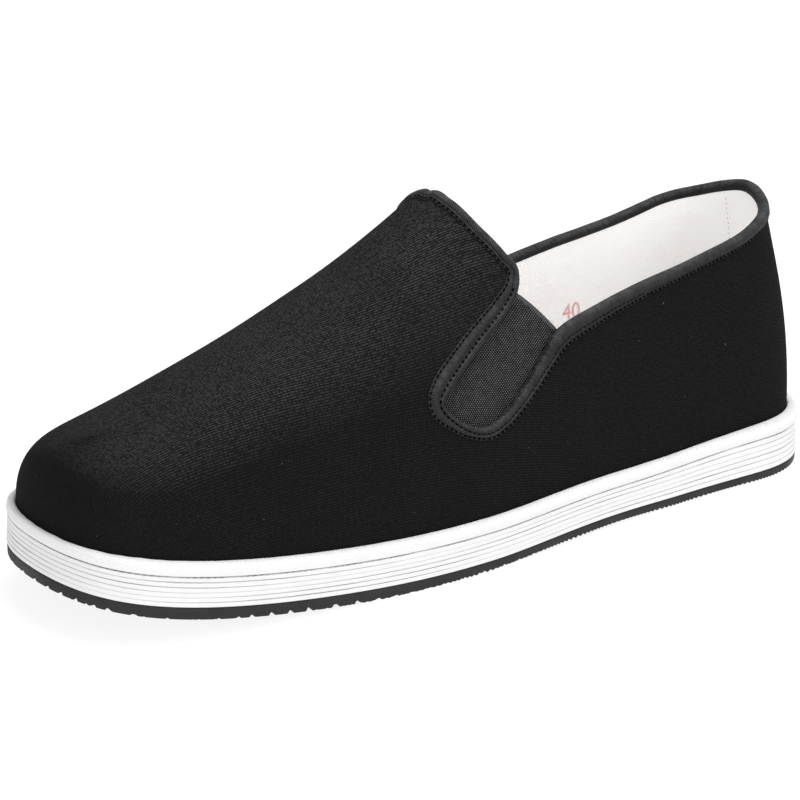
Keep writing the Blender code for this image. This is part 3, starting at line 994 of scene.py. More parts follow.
@dataclass(frozen=True)
class Thread(Finish):
    """Sewing thread."""

    name: str = "black_thread"
    roughness: float = 0.6
    specular: float = 0.02
    # near black: the thread's own black, taken darker as painted shade of its needle holes
    colour: Colour = (0.0006, 0.0006, 0.0006)
    highlight: float = 2.2              # how many times lighter the thread's fibres get

    def look(self, paint: Paint) -> Look:
        """Uneven fibres.

        Args:
            paint: the material that is being wired.

        Returns:
            What goes into its shader.
        """
        tone = paint.tone(0.0006, 2.0)
        light = tuple(self.highlight * part for part in self.colour)
        return Look(paint.mix(tone, self.colour, light), tone, 0.1 * MM, 0.5)


@dataclass(frozen=True)
class WhiteCotton(Finish):
    """White woven cotton with a slanting weave: welt, lining and insole cover."""

    name: str = "white_cotton_twill"
    roughness: float = 0.85
    specular: float = 0.2
    sheen: float = 0.1
    ground: Colour = (0.71, 0.71, 0.715)
    line: Colour = (0.79, 0.79, 0.795)
    soil: Colour = (0.62, 0.61, 0.59)
    soiling: float = 0.15
    pitch: float = 0.85
    slant: float = 0.8
    depth: float = 0.16 * MM
    # painted glow: emission that lifts the cloth's shade
    painted_glow: float = 0.0

    def look(self, paint: Paint) -> Look:
        """Slanting lines with patches of faint soil.

        Args:
            paint: the material that is being wired.

        Returns:
            What goes into its shader.
        """
        relief, = paint.use(EFFECTS.diagonal_weave, Map=paint.cloth, Pitch=self.pitch, Slant=self.slant,
                            Waver=0.5)
        soiled = paint.tone(0.012, 2.0).remap(0.55, 0.95, 0.0, self.soiling)
        colour = paint.mix(soiled, paint.mix(relief, self.ground, self.line), self.soil)
        return Look(colour, relief, self.depth, 0.7, painted_glow=self.painted_glow, painted_glow_colour=self.ground)


@dataclass(frozen=True)
class LayeredSole(Finish):
    """White bonded layers with thin grey-brown glue lines between them, and a seam on the top one."""

    name: str = "white_layered_sole"
    roughness: float = 0.6
    specular: float = 0.3
    layers: int = 6
    ground: Colour = (0.70, 0.70, 0.705)
    glue: Colour = (0.235, 0.215, 0.20)
    soil: Colour = (0.60, 0.595, 0.59)
    thin: float = 0.035                 # of a glue line, as a share of a layer
    hole_pitch: float = 1.9             # of the top line's seam, in mm

    def look(self, paint: Paint) -> Look:
        """Wavering lines; the map's X is millimetres along the edge, and Y counts the layers.

        Args:
            paint: the material that is being wired.

        Returns:
            What goes into its shader.
        """
        x, y, _ = paint.split(paint.cloth)
        row = paint.maths("FLOOR", y + 0.5)
        along = paint.join(x, row * 37.0)
        holes = paint.maths("SINE", x * (2 * math.pi / self.hole_pitch)).remap(-0.6, 0.8, 0.35, 1.0) * 1.3
        seam = paint.noise(along, 0.09).remap(0.35, 0.62) * holes
        strength = paint.mix(paint.maths("GREATER_THAN", row, self.layers - 0.5),
                             paint.noise(along, 0.045, 3.0).remap(0.34, 0.66, 0.38, 1.0), seam)
        waver = (paint.noise(along, 0.5) - 0.5) * 0.10
        line = paint.maths("ABSOLUTE", y + waver - row).remap(self.thin, self.thin * 2.4, 1.0, 0.0)
        soiled = paint.tone(0.006, 2.2).remap(0.5, 1.0, 0.0, 0.25)
        colour = paint.mix(line * strength, paint.mix(soiled, self.ground, self.soil), self.glue)
        return Look(colour, paint.tone(0.0008, 1.4) * 0.3 + line * -0.5, 0.15 * MM, 0.6)


@dataclass(frozen=True)
class Rubber(Finish):
    """Black rubber with a dusty, slightly uneven face."""

    name: str = "black_sole_rubber"
    roughness: float = 0.62
    specular: float = 0.35
    ground: Colour = (0.0075, 0.0078, 0.008)
    dusty: Colour = (0.020, 0.0205, 0.0215)

    def look(self, paint: Paint) -> Look:
        """Dust in patches over a fine grain.

        Args:
            paint: the material that is being wired.

        Returns:
            What goes into its shader.
        """
        tone, grain = paint.tone(0.01, 2.0), paint.tone(0.0007, 1.6)
        return Look(paint.mix(tone * grain, self.ground, self.dusty), grain, 0.2 * MM, 0.5,
                    tone.remap(0.2, 0.8, 0.5, 0.75))


@dataclass(frozen=True)
class StampInk(Finish):
    """Faded red ink printed on cotton."""

    name: str = "faded_red_ink"
    roughness: float = 0.8
    specular: float = 0.2
    ink: Colour = (0.80, 0.27, 0.23)
    worn: Colour = (0.88, 0.70, 0.66)

    def look(self, paint: Paint) -> Look:
        """Ink worn in small patches."""
        tone = paint.tone(0.0012, 3.0)
        return Look(paint.mix(tone, self.ink, self.worn), tone, 0.1 * MM, 0.4)


def add_object(name: str, data: bpy.types.ID) -> bpy.types.Object:
    """Put a new object into the scene.

    Args:
        name: its name.
        data: its mesh, curve, lamp or camera.

    Returns:
        The object.
    """
    thing = bpy.data.objects.new(name, data)
    bpy.context.scene.collection.objects.link(thing)
    return thing


def grid_faces(rows: int, columns: int, start: int = 0, flip: bool = False, wrap: bool = False) -> np.ndarray:
    """Quads of a grid of points that is stored row by row.

    Args:
        rows: number of rows of points.
        columns: number of points in a row.
        start: index of the first point.
        flip: turns the faces round.
        wrap: joins each row's last point to its first.

    Returns:
        Four point indices for each face.
    """
    i, j = np.meshgrid(np.arange(rows - 1), np.arange(columns if wrap else columns - 1), indexing="ij")
    k = (j + 1) % columns
    quads = np.stack([i * columns + j, (i + 1) * columns + j, (i + 1) * columns + k, i * columns + k], -1)
    quads = quads.reshape(-1, 4) + start
    return quads[:, ::-1] if flip else quads


def make_piece(name: str, points: np.ndarray, faces: Sequence[Sequence[int]], cloth: np.ndarray,
               closed: bool = True, sharp: float = 180.0) -> bpy.types.Object:
    """An object from points and faces, with its doubles merged.

    Args:
        name: the piece's name.
        points: its points.
        faces: its faces.
        cloth: map coordinates of each point, in millimetres.
        closed: turns the faces of a closed body outwards.
        sharp: angle in degrees past which an edge stays sharp.

    Returns:
        The new object.
    """
    mesh = bpy.data.meshes.new(name)
    mesh.from_pydata(points.reshape(-1, 3).tolist(), [], [tuple(int(k) for k in face) for face in faces])
    layer = mesh.uv_layers.new(name=WEAVE)
    corner = np.empty(len(mesh.loops), np.int32)
    mesh.loops.foreach_get("vertex_index", corner)
    layer.data.foreach_set("uv", cloth.reshape(-1, 2).astype(np.float32)[corner].ravel())
    bm = bmesh.new()
    bm.from_mesh(mesh)
    bmesh.ops.remove_doubles(bm, verts=bm.verts, dist=2e-6)
    bmesh.ops.dissolve_degenerate(bm, edges=bm.edges, dist=1e-7)
    if closed:
        bmesh.ops.recalc_face_normals(bm, faces=bm.faces)
    bm.to_mesh(mesh)
    bm.free()
    mesh.shade_smooth()
    mesh.set_sharp_from_angle(angle=math.radians(sharp))
    return add_object(name, mesh)


def thicken(piece: bpy.types.Object, thickness: float) -> bpy.types.Object:
    """Give an open cloth sheet its wall, inwards from its face.

    Args:
        piece: the sheet.
        thickness: the wall's thickness.

    Returns:
        The same piece.
    """
    wall = piece.modifiers.new("wall", "SOLIDIFY")
    wall.thickness, wall.offset = thickness, -1
    return piece


def plain_mesh(piece: bpy.types.Object) -> bpy.types.Mesh:
    """A plain mesh of a piece as its modifiers or its outline make it."""
    graph = bpy.context.evaluated_depsgraph_get()
    return bpy.data.meshes.new_from_object(piece.evaluated_get(graph), depsgraph=graph)


def dress(piece: bpy.types.Object, material: bpy.types.Material, slot: str, *nodes: str) -> None:
    """Give a piece its material and its body, hide the CAD nodes that it replaces, and log its slot.

    Args:
        piece: the finished piece.
        material: its material.
        slot: the name of its material slot, which is only logged.
        nodes: the CAD nodes that it replaces, if any.
    """
    piece.data.materials.clear()
    piece.data.materials.append(material)
    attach(piece, "root")
    if nodes:
        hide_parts(*nodes)
    triangles = sum(len(face.vertices) - 2 for face in piece.data.polygons)
    LOG.info("%s: %d triangles, %s", piece.name, triangles, slot)


class Repeater(Board):
    """A Geometry Nodes tree for what repeats along a seam or over a face."""

    def __init__(self, name: str) -> None:
        """Start a tree that takes and gives geometry.

        Args:
            name: its name.
        """
        super().__init__(bpy.data.node_groups.new(name, "GeometryNodeTree"))
        for way in ("INPUT", "OUTPUT"):
            self.tree.interface.new_socket("Geometry", in_out=way, socket_type="NodeSocketGeometry")
        self.given = self.node("NodeGroupInput")
        self.points = Signal(self, self.given.outputs[0])
        self.sizes: dict[str, tuple[str, float]] = {}

    def size(self, label: str, value: float) -> Signal:
        """Add a named size and give its output.

        Args:
            label: its name.
            value: its value, a whole number for a count or seed.

        Returns:
            Its output.
        """
        kind = "NodeSocketInt" if isinstance(value, int) else "NodeSocketFloat"
        socket = self.tree.interface.new_socket(label, in_out="INPUT", socket_type=kind)
        socket.default_value = value
        self.sizes[label] = (socket.identifier, value)
        return Signal(self, self.given.outputs[label])

    def spread(self, low: float, high: float, seed: Signal) -> Signal:
        """A number for each copy between two bounds, from the seed."""
        return self.out("FunctionNodeRandomValue", {2: low, 3: high, "Seed": seed}, 1, data_type="FLOAT")

    def finish(self, points: Signal, shape: Signal, scale: Signal, material: bpy.types.Material) -> None:
        """Set a shape on each point, turned to the point's two directions, and make it real.

        Args:
            points: where the copies stand.
            shape: what is copied.
            scale: size of each copy along its three directions.
            material: the copies' material.
        """
        out, ahead = (self.out("GeometryNodeInputNamedAttribute", {"Name": label}, "Attribute",
                               data_type="FLOAT_VECTOR") for label in ("out", "ahead"))
        turn = self.out("FunctionNodeAxesToRotation", {0: out, 1: ahead},
                        primary_axis="Z", secondary_axis="X")
        copies = self.out("GeometryNodeInstanceOnPoints",
                          {"Points": points, "Instance": shape, "Rotation": turn, "Scale": scale})
        real = self.out("GeometryNodeRealizeInstances", {0: copies})
        smooth = self.out("GeometryNodeSetShadeSmooth", {"Geometry": real})
        dressed = self.out("GeometryNodeSetMaterial", {"Geometry": smooth, "Material": material})
        self.node("NodeGroupOutput", {0: dressed})

    def apply(self, name: str, runs: Sequence[Run], linked: bool) -> bpy.types.Object:
        """Run the tree on sets of points and keep the plain mesh that it makes.

        Args:
            name: the piece's name.
            runs: the points of each set, with their directions ahead and out.
            linked: joins the points of a set, for a seam.

        Returns:
            The finished piece.
        """
        points, ahead, out = (np.vstack(column) for column in zip(*runs))
        ends = np.cumsum([len(run[0]) for run in runs])
        edges = [(i, i + 1) for i in range(len(points) - 1) if i + 1 not in ends] if linked else []
        mesh = bpy.data.meshes.new(name)
        mesh.from_pydata(points.tolist(), edges, [])
        for label, vectors in (("ahead", ahead), ("out", out)):
            layer = mesh.attributes.new(label, "FLOAT_VECTOR", "POINT")
            layer.data.foreach_set("vector", vectors.astype(np.float32).ravel())
        piece = add_object(name, mesh)
        modifier = piece.modifiers.new("repeat", "NODES")
        modifier.node_group = self.tree
        for identifier, value in self.sizes.values():
            modifier[identifier] = value
        piece.data = plain_mesh(piece)
        piece.modifiers.clear()
        bpy.data.meshes.remove(mesh)
        piece.data.name = name
        return piece


@dataclass
class Stitches:
    """Rows of rounded stitches along a seam."""

    thread: bpy.types.Material
    pitch: float
    length: float
    width: float
    height: float
    seed: int

    @cached_property
    def tree(self) -> Repeater:
        """The tree that sews them.

        Returns:
            The wired tree.
        """
        tree = Repeater("seam_stitches")
        pitch, length = tree.size("Pitch", self.pitch), tree.size("Stitch Length", self.length)
        width, height = tree.size("Thread Width", self.width), tree.size("Thread Height", self.height)
        seam = tree.out("GeometryNodeMeshToCurve", {0: tree.points})
        even = tree.out("GeometryNodeResampleCurve", {"Curve": seam, "Length": pitch}, mode="LENGTH")
        ball = tree.out("GeometryNodeMeshUVSphere", {"Segments": 8, "Rings": 6, "Radius": 0.5}, "Mesh")
        uneven = length * tree.spread(0.88, 1.1, tree.size("Seed", self.seed))
        tree.finish(even, ball, tree.join(uneven, width, height), self.thread)
        return tree

    def sew(self, name: str, runs: Sequence[Run], slot: str) -> None:
        """Sew and dress a seam along each run."""
        dress(self.tree.apply(name, runs, linked=True), self.thread, slot)


@dataclass
class Cleats:
    """Small tapered cleats on points under the sole."""

    rubber: bpy.types.Material
    width: float
    height: float
    unevenness: float = 0.08
    seed: int = 8

    def stand(self, name: str, points: np.ndarray, ahead: np.ndarray, down: np.ndarray) -> None:
        """Stand the cleats on their points and dress them.

        Args:
            name: the piece's name.
            points: middles of the cleats.
            ahead: the sole's direction to the toe at each.
            down: the direction that each points to.
        """
        tree = Repeater("tread_cleats")
        width, height = tree.size("Cleat Width", self.width), tree.size("Cleat Height", self.height)
        uneven, seed = tree.size("Unevenness", self.unevenness), tree.size("Seed", self.seed)
        stub = tree.out("GeometryNodeMeshCone",
                        {"Vertices": 8, "Radius Top": 0.36, "Radius Bottom": 0.5, "Depth": 1.0}, "Mesh")
        centred = tree.out("GeometryNodeTransform", {"Geometry": stub, "Translation": (0.0, 0.0, -0.5)})
        across = width * (tree.spread(-1.0, 1.0, seed) * uneven + 1.0)
        along = width * (tree.spread(-1.0, 1.0, seed + 5.0) * uneven + 1.0)
        tree.finish(tree.points, centred, tree.join(along, across, height), self.rubber)
        dress(tree.apply(name, [(points, ahead, down)], linked=False), self.rubber, "black_rubber")


@dataclass
class Sole:
    """The rubber sheet with its cleats, the layered sole and the covered welt."""

    last: ShoeLast
    columns: int = 260
    rubber_columns: int = 1000
    rubber_inset: float = -0.40 * MM
    layer_flare: float = -0.55 * MM
    heel_square: float = 1.6 * MM       # how far the heel's corners stand out
    toe_thin: float = 0.2               # how much lower the welt is at the toe's tip
    layers: int = 6
    groove: float = 0.13 * MM
    welt_height: float = 3.8 * MM
    rim_width: float = 3.4 * MM
    cleat_pitch: float = 4.6 * MM
    cleat_width: float = 3.0 * MM
    welt_section: tuple[tuple[float, float], ...] = (       # shares of the upper's inset and the height
        (0.95, 0.0), (0.06, 0.0), (-0.08, 0.16), (-0.15, 0.50),
        (0.02, 0.84), (0.42, 1.0), (0.80, 1.02), (0.95, 0.93),
    )

    def ring(self, columns: int) -> tuple[np.ndarray, np.ndarray]:
        """Stations and sides of points round the sole: out along the outer side, back along the inner.

        Args:
            columns: how many columns each side has.

        Returns:
            The stations and the sides.
        """
        station = np.linspace(0, 1, columns + 1)
        return (np.concatenate([station, station[-2:0:-1]]),
                np.concatenate([np.ones(columns + 1), -np.ones(columns - 1)]))

    def loop(self, columns: int, inset: Places = 0.0, square: float = 1.0) -> np.ndarray:
        """Plan points all round the sole, set in from its edge.

        Args:
            columns: how many columns each side has.
            inset: how far inside the edge.
            square: share of the heel's corners.

        Returns:
            X and Y of each point.
        """
        station, side = self.ring(columns)
        corner = square * self.heel_square * np.exp(-((station - 0.2) / 0.075) ** 2)
        return self.last.edge(station, side, inset - corner)

    def ring_run(self, columns: int) -> np.ndarray:
        """Millimetres round the sole's edge at each point of the ring."""
        return run_length(self.loop(columns)) / MM

    def slab(self, name: str, columns: int, rows: Sequence[tuple[Places, Places, float]],
             sharp: float = 60.0) -> bpy.types.Object:
        """A closed slab from rings.

        Args:
            name: the piece's name.
            columns: how many columns each side has.
            rows: inset, height and map row of each ring, from the bottom up.
            sharp: angle in degrees past which an edge stays sharp.

        Returns:
            The new object.
        """
        size, run = 2 * columns, self.ring_run(columns)
        points = np.stack([np.column_stack([self.loop(columns, inset), np.broadcast_to(height, size)])
                           for inset, height, _ in rows])
        cloth = np.stack([np.column_stack([run, np.full(size, row)]) for _, _, row in rows])
        faces = list(grid_faces(len(rows), size, wrap=True))
        for start in (0, (len(rows) - 1) * size):
            for i in range(columns):
                face = [i, i + 1, (size - i - 1) % size, (size - i) % size]
                faces.append([start + k for k in dict.fromkeys(face)])
        return make_piece(name, points, faces, cloth, sharp=sharp)

    @staticmethod
    def ragged(run: np.ndarray, station: np.ndarray) -> np.ndarray:
        """Height of the cut tread's lower edge over the floor: fine teeth at the heel, notches at the toe.

        Args:
            run: millimetres round the sole.
            station: stations there.

        Returns:
            Shares of the cleats' height.
        """
        fine = np.sin(run / 0.27 + 2.1 * np.sin(run / 2.9)) * (0.65 + 0.35 * np.sin(run / 6.7))
        lumps = np.sin(run / 0.98 + 1.7 * np.sin(run / 7.9))
        lumps = lumps + 0.7 * np.sin(run / 0.47 + 1.3 * np.sin(run / 5.3))
        toe = smooth_step(0.45, 0.7, station)
        notches = np.clip(lumps - 0.1, 0, 1.15) * (0.75 + 0.5 * np.sin(run / 11.3))
        heel_edge, toe_edge = 0.50 + 0.30 * fine, 0.75 * notches - 0.42 + 0.16 * fine
        return np.clip((1 - toe) * heel_edge + toe * toe_edge, -0.28, 0.9)

    def build_rubber(self) -> bpy.types.Object:
        """The rubber sheet, with the rim of cut cleats that shows under it.

        Returns:
            The new object.
        """
        count, inset, lug = self.rubber_columns, self.rubber_inset, self.last.lug_height
        x = self.loop(count, inset)[:, 0]
        floor, top = self.last.floor_level(x), self.last.rubber_top(x)
        low = np.maximum(floor + lug * self.ragged(self.ring_run(count), self.ring(count)[0]), 0.0)
        rim, under = inset + self.rim_width, floor + lug
        rows = [(rim, under, 0.0), (rim - 0.5 * MM, under, 0.05), (rim - MM, low, 0.1),
                (inset + 0.25 * MM, low, 0.2), (inset + 0.04 * MM, low + 0.12 * MM, 0.25)]
        for share, extra in ((0.35, 0.0), (0.7, 0.0), (0.92, 0.03), (1.0, 0.18)):
            rows.append((inset + extra * MM, low + (top - low) * share, 0.3 + share))
        return self.slab("rubber_sole", count, rows, sharp=40.0)

    def build_cleats(self, rubber: bpy.types.Material) -> None:
        """Cleats in staggered rows inside the tread's rim, set by Geometry Nodes.

        Args:
            rubber: their material.
        """
        places, count_x = [], int(self.last.length / self.cleat_pitch)
        clear = self.rubber_inset + self.rim_width + 0.3 * self.cleat_width
        for row in range(count_x):
            x = (row - (count_x - 1) / 2) * self.cleat_pitch
            station = math.acos(1 - 2 * (x / self.last.length + 0.5)) / math.pi
            outer, inner = (self.last.edge(station, side.value, clear)[1] for side in Side)
            count = max(int((outer - inner) / self.cleat_pitch), 0)
            shift = 0.25 if row % 2 else -0.25
            places += [(x, inner + (outer - inner) * (i + 0.5 + shift) / count) for i in range(count)]
        plan, step = np.array(places), 0.5 * MM
        x, level, one = plan[:, 0], self.last.floor_level, np.ones(len(plan))
        slope = (level(x + step) - level(x - step)) / (2 * step)
        cleats = Cleats(rubber, self.cleat_width, self.last.lug_height + 0.1 * MM)
        points = np.column_stack([plan, level(x) + cleats.height / 2 + 0.02 * MM])
        cleats.stand("rubber_cleats", points, np.column_stack([one, 0 * one, slope]),
                     unit(np.column_stack([slope, 0 * one, -one])))

    def build_layers(self) -> bpy.types.Object:
        """The bonded layers, each a soft rib with a narrow groove under it.

        Returns:
            The new object.
        """
        x, run = self.loop(self.columns)[:, 0], self.ring_run(self.columns)
        rows = []
        for layer in range(self.layers):
            sway = 0.09 * np.sin(run / (11 + 3 * layer) + 1.7 * layer)
            sway = sway + 0.05 * np.sin(run / (4.1 + layer) + layer)
            for share in (0.0, 0.05, 0.13, 0.27, 0.5, 0.73, 0.87, 0.95):
                bulge = 1 - abs(2 * share - 1) ** 4.5
                level = (layer + share) / self.layers
                inset = self.layer_flare * (1 - level) + self.groove * (1 - bulge) + 0.4 * sway * MM * bulge
                lift = 0.14 * MM * np.sin(run / (17 + 2 * layer) + 2.1 * layer) * (0 < layer) * (1 - share)
                rows.append((inset, self.last.layer_level(x, level) + lift, layer + share))
        rows.append((self.groove, self.last.layer_level(x, 1.0), float(self.layers)))
        return self.slab("sole_layers", self.columns, rows)

    def build_welt(self) -> bpy.types.Object:
        """The cotton-covered roll on the rim, with small puckers where it turns.

        Returns:
            The new object.
        """
        shape = spread_rows(self.welt_section, 29)
        station, run = self.ring(self.columns)[0], self.ring_run(self.columns)
        turning = 0.35 + smooth_step(0.74, 0.9, station) + 1 - smooth_step(0.06, 0.2, station)
        pucker = turning * (np.sin(run / 1.05 + 1.5 * np.sin(run / 7.3)) * 0.6 + np.sin(run / 2.3) * 0.6)
        wander = 0.10 * np.sin(run / 19) + 0.07 * np.sin(run / 8.3 + 1)
        tall = self.welt_height * (1 - self.toe_thin * smooth_step(0.84, 1, station))
        points, cloth = [], []
        girths = run_length(shape * (self.last.upper_inset, self.welt_height)) / MM
        for (inset, height), girth in zip(shape, girths):
            swell = max(1 - ((height - 0.55) / 0.6) ** 2, 0) * max(1 - inset, 0)
            inward = inset * self.last.upper_inset - (0.05 * pucker + wander) * MM * swell
            plan = self.loop(self.columns, inward, square=1 - max(inset, 0))
            lift = height * (tall + 0.05 * MM * pucker * height)
            level = self.last.layer_level(plan[:, 0], 1) + self.last.fit + lift
            points.append(np.column_stack([plan, level]))
            cloth.append(np.column_stack([run, np.full(len(run), girth)]))
        size, top = len(run), (len(shape) - 1) * len(run)
        faces = list(grid_faces(len(shape), size, wrap=True))
        faces += [(top + i, top + (i + 1) % size, (i + 1) % size, i) for i in range(size)]
        return make_piece("welt_roll", np.stack(points), faces, np.stack(cloth), sharp=70.0)

    def build(self) -> None:
        """Build and dress the whole sole."""
        rubber = Rubber().build()
        dress(self.build_rubber(), rubber, "black_rubber", "outsole")
        self.build_cleats(rubber)
        dress(self.build_layers(), LayeredSole(layers=self.layers).build(), "white_sole", "midsole")
        dress(self.build_welt(), WhiteCotton(name="welt_cotton").build(), "white_cotton", "welt")


@dataclass
class Shell:
    """The lasted cloth and the cotton lining inside it."""

    last: ShoeLast
    cloth_wall: float = 1.05 * MM
    lining_wall: float = 0.55 * MM
    lining_depth: float = 1.15 * MM
    low_rows: int = 44
    high_rows: int = 60
    collar_steps: int = 15
    notch_steps: int = 8
    toe_columns: int = 84
    seam_station: float = 0.047
    lean: float = 0.10              # how far the vamp patch's front line leans to the toe, in stations

    def patches(self, side: float) -> list[np.ndarray]:
        """Grids of station and rise for one side: under the mouth, the vamp's corner and the toe.

        Args:
            side: the side.

        Returns:
            The three grids.
        """
        mouth = self.last.mouth
        search = np.linspace(NOTCH_TIP - 0.5, NOTCH_TIP + 1, 301)
        split = float(search[np.argmax(mouth(search)[:, 0])])
        collar = mouth(np.linspace(0, NOTCH_TOP, NOTCH_TOP * self.collar_steps + 1), side)
        notch = mouth(np.linspace(NOTCH_TOP, split, (NOTCH_TIP - NOTCH_TOP) * self.notch_steps + 1), side)
        low = np.vstack([collar, notch[1:]])
        share = np.linspace(0, 1, self.low_rows + 1) ** 1.25
        under = np.stack([np.repeat(low[:, :1], len(share), 1), low[:, 1:] * share], -1)
        steps = (THROAT_CORNER - NOTCH_TIP) * self.notch_steps
        front = mouth(np.linspace(THROAT_CORNER, split, steps + 1), side)
        throat = mouth(np.linspace(THROAT_CORNER, THROAT_TOP, self.high_rows + 1), side)
        tip, crown = front[-1], np.array([front[-1, 0] + self.lean, 90.0])
        above = np.linspace(tip, crown, self.high_rows + 1)
        a = np.linspace(0, 1, steps + 1)[:, None, None]
        b = np.linspace(0, 1, self.high_rows + 1)[None, :, None]
        crest = np.linspace(throat[-1], crown, steps + 1)
        corners = ((1 - a) * (1 - b) * front[0] + a * (1 - b) * front[-1]
                   + (1 - a) * b * throat[-1] + a * b * crown)
        vamp = ((1 - b) * front[:, None] + b * crest[:, None] + (1 - a) * throat[None] + a * above[None]
                - corners)
        rear = np.vstack([np.column_stack([np.full(self.low_rows, tip[0]), tip[1] * share[:-1]]), above])
        ahead = np.linspace(0, 1, self.toe_columns + 1)[:, None]
        toe = np.stack(np.broadcast_arrays(rear[:, 0] + (1 - rear[:, 0]) * ahead, rear[:, 1]), -1)
        return [under, vamp, toe]

    def sheet(self, name: str, depth: float, wall: float) -> bpy.types.Object:
        """A cloth sheet over the last, at a depth under its face and with its own wall.

        Args:
            name: the piece's name.
            depth: how deep it lies.
            wall: its thickness.

        Returns:
            The new object.
        """
        points, cloth, faces, start = [], [], [], 0
        for side in Side:
            for patch in self.patches(side.value):
                rows, columns = patch.shape[:2]
                station, rise = patch[..., 0].ravel(), patch[..., 1].ravel()
                points.append(self.last.place(station, rise, side.value, -depth))
                cloth.append(self.last.cloth_map(station, rise))
                faces.append(grid_faces(rows, columns, start, flip=side is Side.OUTER))
                start += rows * columns
        face = make_piece(name, np.vstack(points), np.vstack(faces), np.vstack(cloth), closed=False)
        return thicken(face, wall)

    def build_heel_seam(self) -> None:
        """A short row of small stitches up the lining by the heel, on both sides."""
        rise, runs = np.arange(19.0, 35.6, 0.25), []
        for side in Side:
            spots = self.last.place(self.seam_station, rise, side.value, -(self.last.wall + 0.02 * MM))
            runs.append((spots, unit(np.gradient(spots, axis=0)),
                         -self.last.normal(self.seam_station, rise, side.value)))
        thread = Thread(name="grey_thread", colour=(0.30, 0.28, 0.27)).build()
        Stitches(thread, pitch=1.7 * MM, length=0.9 * MM, width=0.24 * MM, height=0.12 * MM,
                 seed=5).sew("lining_seam", runs, "white_cotton")

    def build(self) -> None:
        """Build and dress the cloth and the lining."""
        cloth = self.sheet("upper_cloth", 0.0, self.cloth_wall)
        dress(cloth, RibbedCloth().build(), "black_cloth", "upper")
        # the lining's glow is painted light that brightens its shade inside the shoe
        finish = WhiteCotton(name="lining_cotton", ground=(0.88, 0.86, 0.855), line=(0.95, 0.945, 0.94),
                             pitch=1.0, slant=-1.1, depth=0.1 * MM, soil=(0.86, 0.79, 0.77), soiling=0.25,
                             painted_glow=0.17)
        dress(self.sheet("upper_lining", self.lining_depth, self.lining_wall), finish.build(), "white_cotton")
        self.build_heel_seam()


@dataclass
class InsoleCover:
    """The cotton-covered board that the foot stands on."""

    last: ShoeLast
    height: float = 2.6 * MM
    clear: float = 0.4 * MM
    rounding: float = 1.6 * MM
    columns: int = 130
    rungs: int = 26

    def build(self) -> None:
        """Build and dress the board: a soft-edged slab with a slightly hollowed top."""
        rows, columns = self.columns + 1, self.rungs + 1
        station, inset = np.linspace(0, 1, rows), self.last.upper_inset + self.last.wall + self.clear
        outer, inner = (self.last.edge(station, side.value, inset) for side in Side)
        share = (1 - np.cos(math.pi * np.linspace(0, 1, columns))) / 2
        plan = outer[:, None] + (inner - outer)[:, None] * share[None, :, None]
        base = self.last.layer_level(plan[..., 0], 1) + self.last.fit
        rim = np.minimum(share, 1 - share)[None] * np.linalg.norm(inner - outer, axis=1)[:, None]
        length = np.minimum(np.arange(rows), np.arange(rows)[::-1])[:, None] * self.rounding
        rounded = np.sqrt(np.clip(np.minimum(rim, length) / self.rounding, 0, 1))
        hollow = 0.35 * MM * np.sin(math.pi * share)[None] ** 2 * smooth_step(0.02, 0.2, station)[:, None]
        top = base + self.height - 0.9 * MM * (1 - rounded) - hollow
        points = np.stack([np.concatenate([plan, level[..., None]], -1) for level in (top, base)])
        upper, size = grid_faces(rows, columns), rows * columns
        index = np.arange(size).reshape(rows, columns)
        border = [*index[:, 0], *index[-1, 1:], *index[-2::-1, -1], *index[0, -2:0:-1]]
        faces = list(upper) + list(upper[:, ::-1] + size)
        faces += [(a, b, b + size, a + size) for a, b in zip(border, border[1:] + border[:1])]
        board = make_piece("insole_cover", points, faces, np.stack([plan, plan]) / MM, sharp=70.0)
        finish = WhiteCotton(name="insole_cotton", ground=(0.70, 0.68, 0.65), line=(0.80, 0.79, 0.77),
                             pitch=1.2, slant=0.9, soil=(0.60, 0.55, 0.50), soiling=0.3)
        dress(board, finish.build(), "insole_cloth", "insole")


class Rail(NamedTuple):
    """A rung of an elastic panel: the station and rise of its front and its rear end."""

    front: float
    front_rise: float
    rear: float
    rear_rise: float


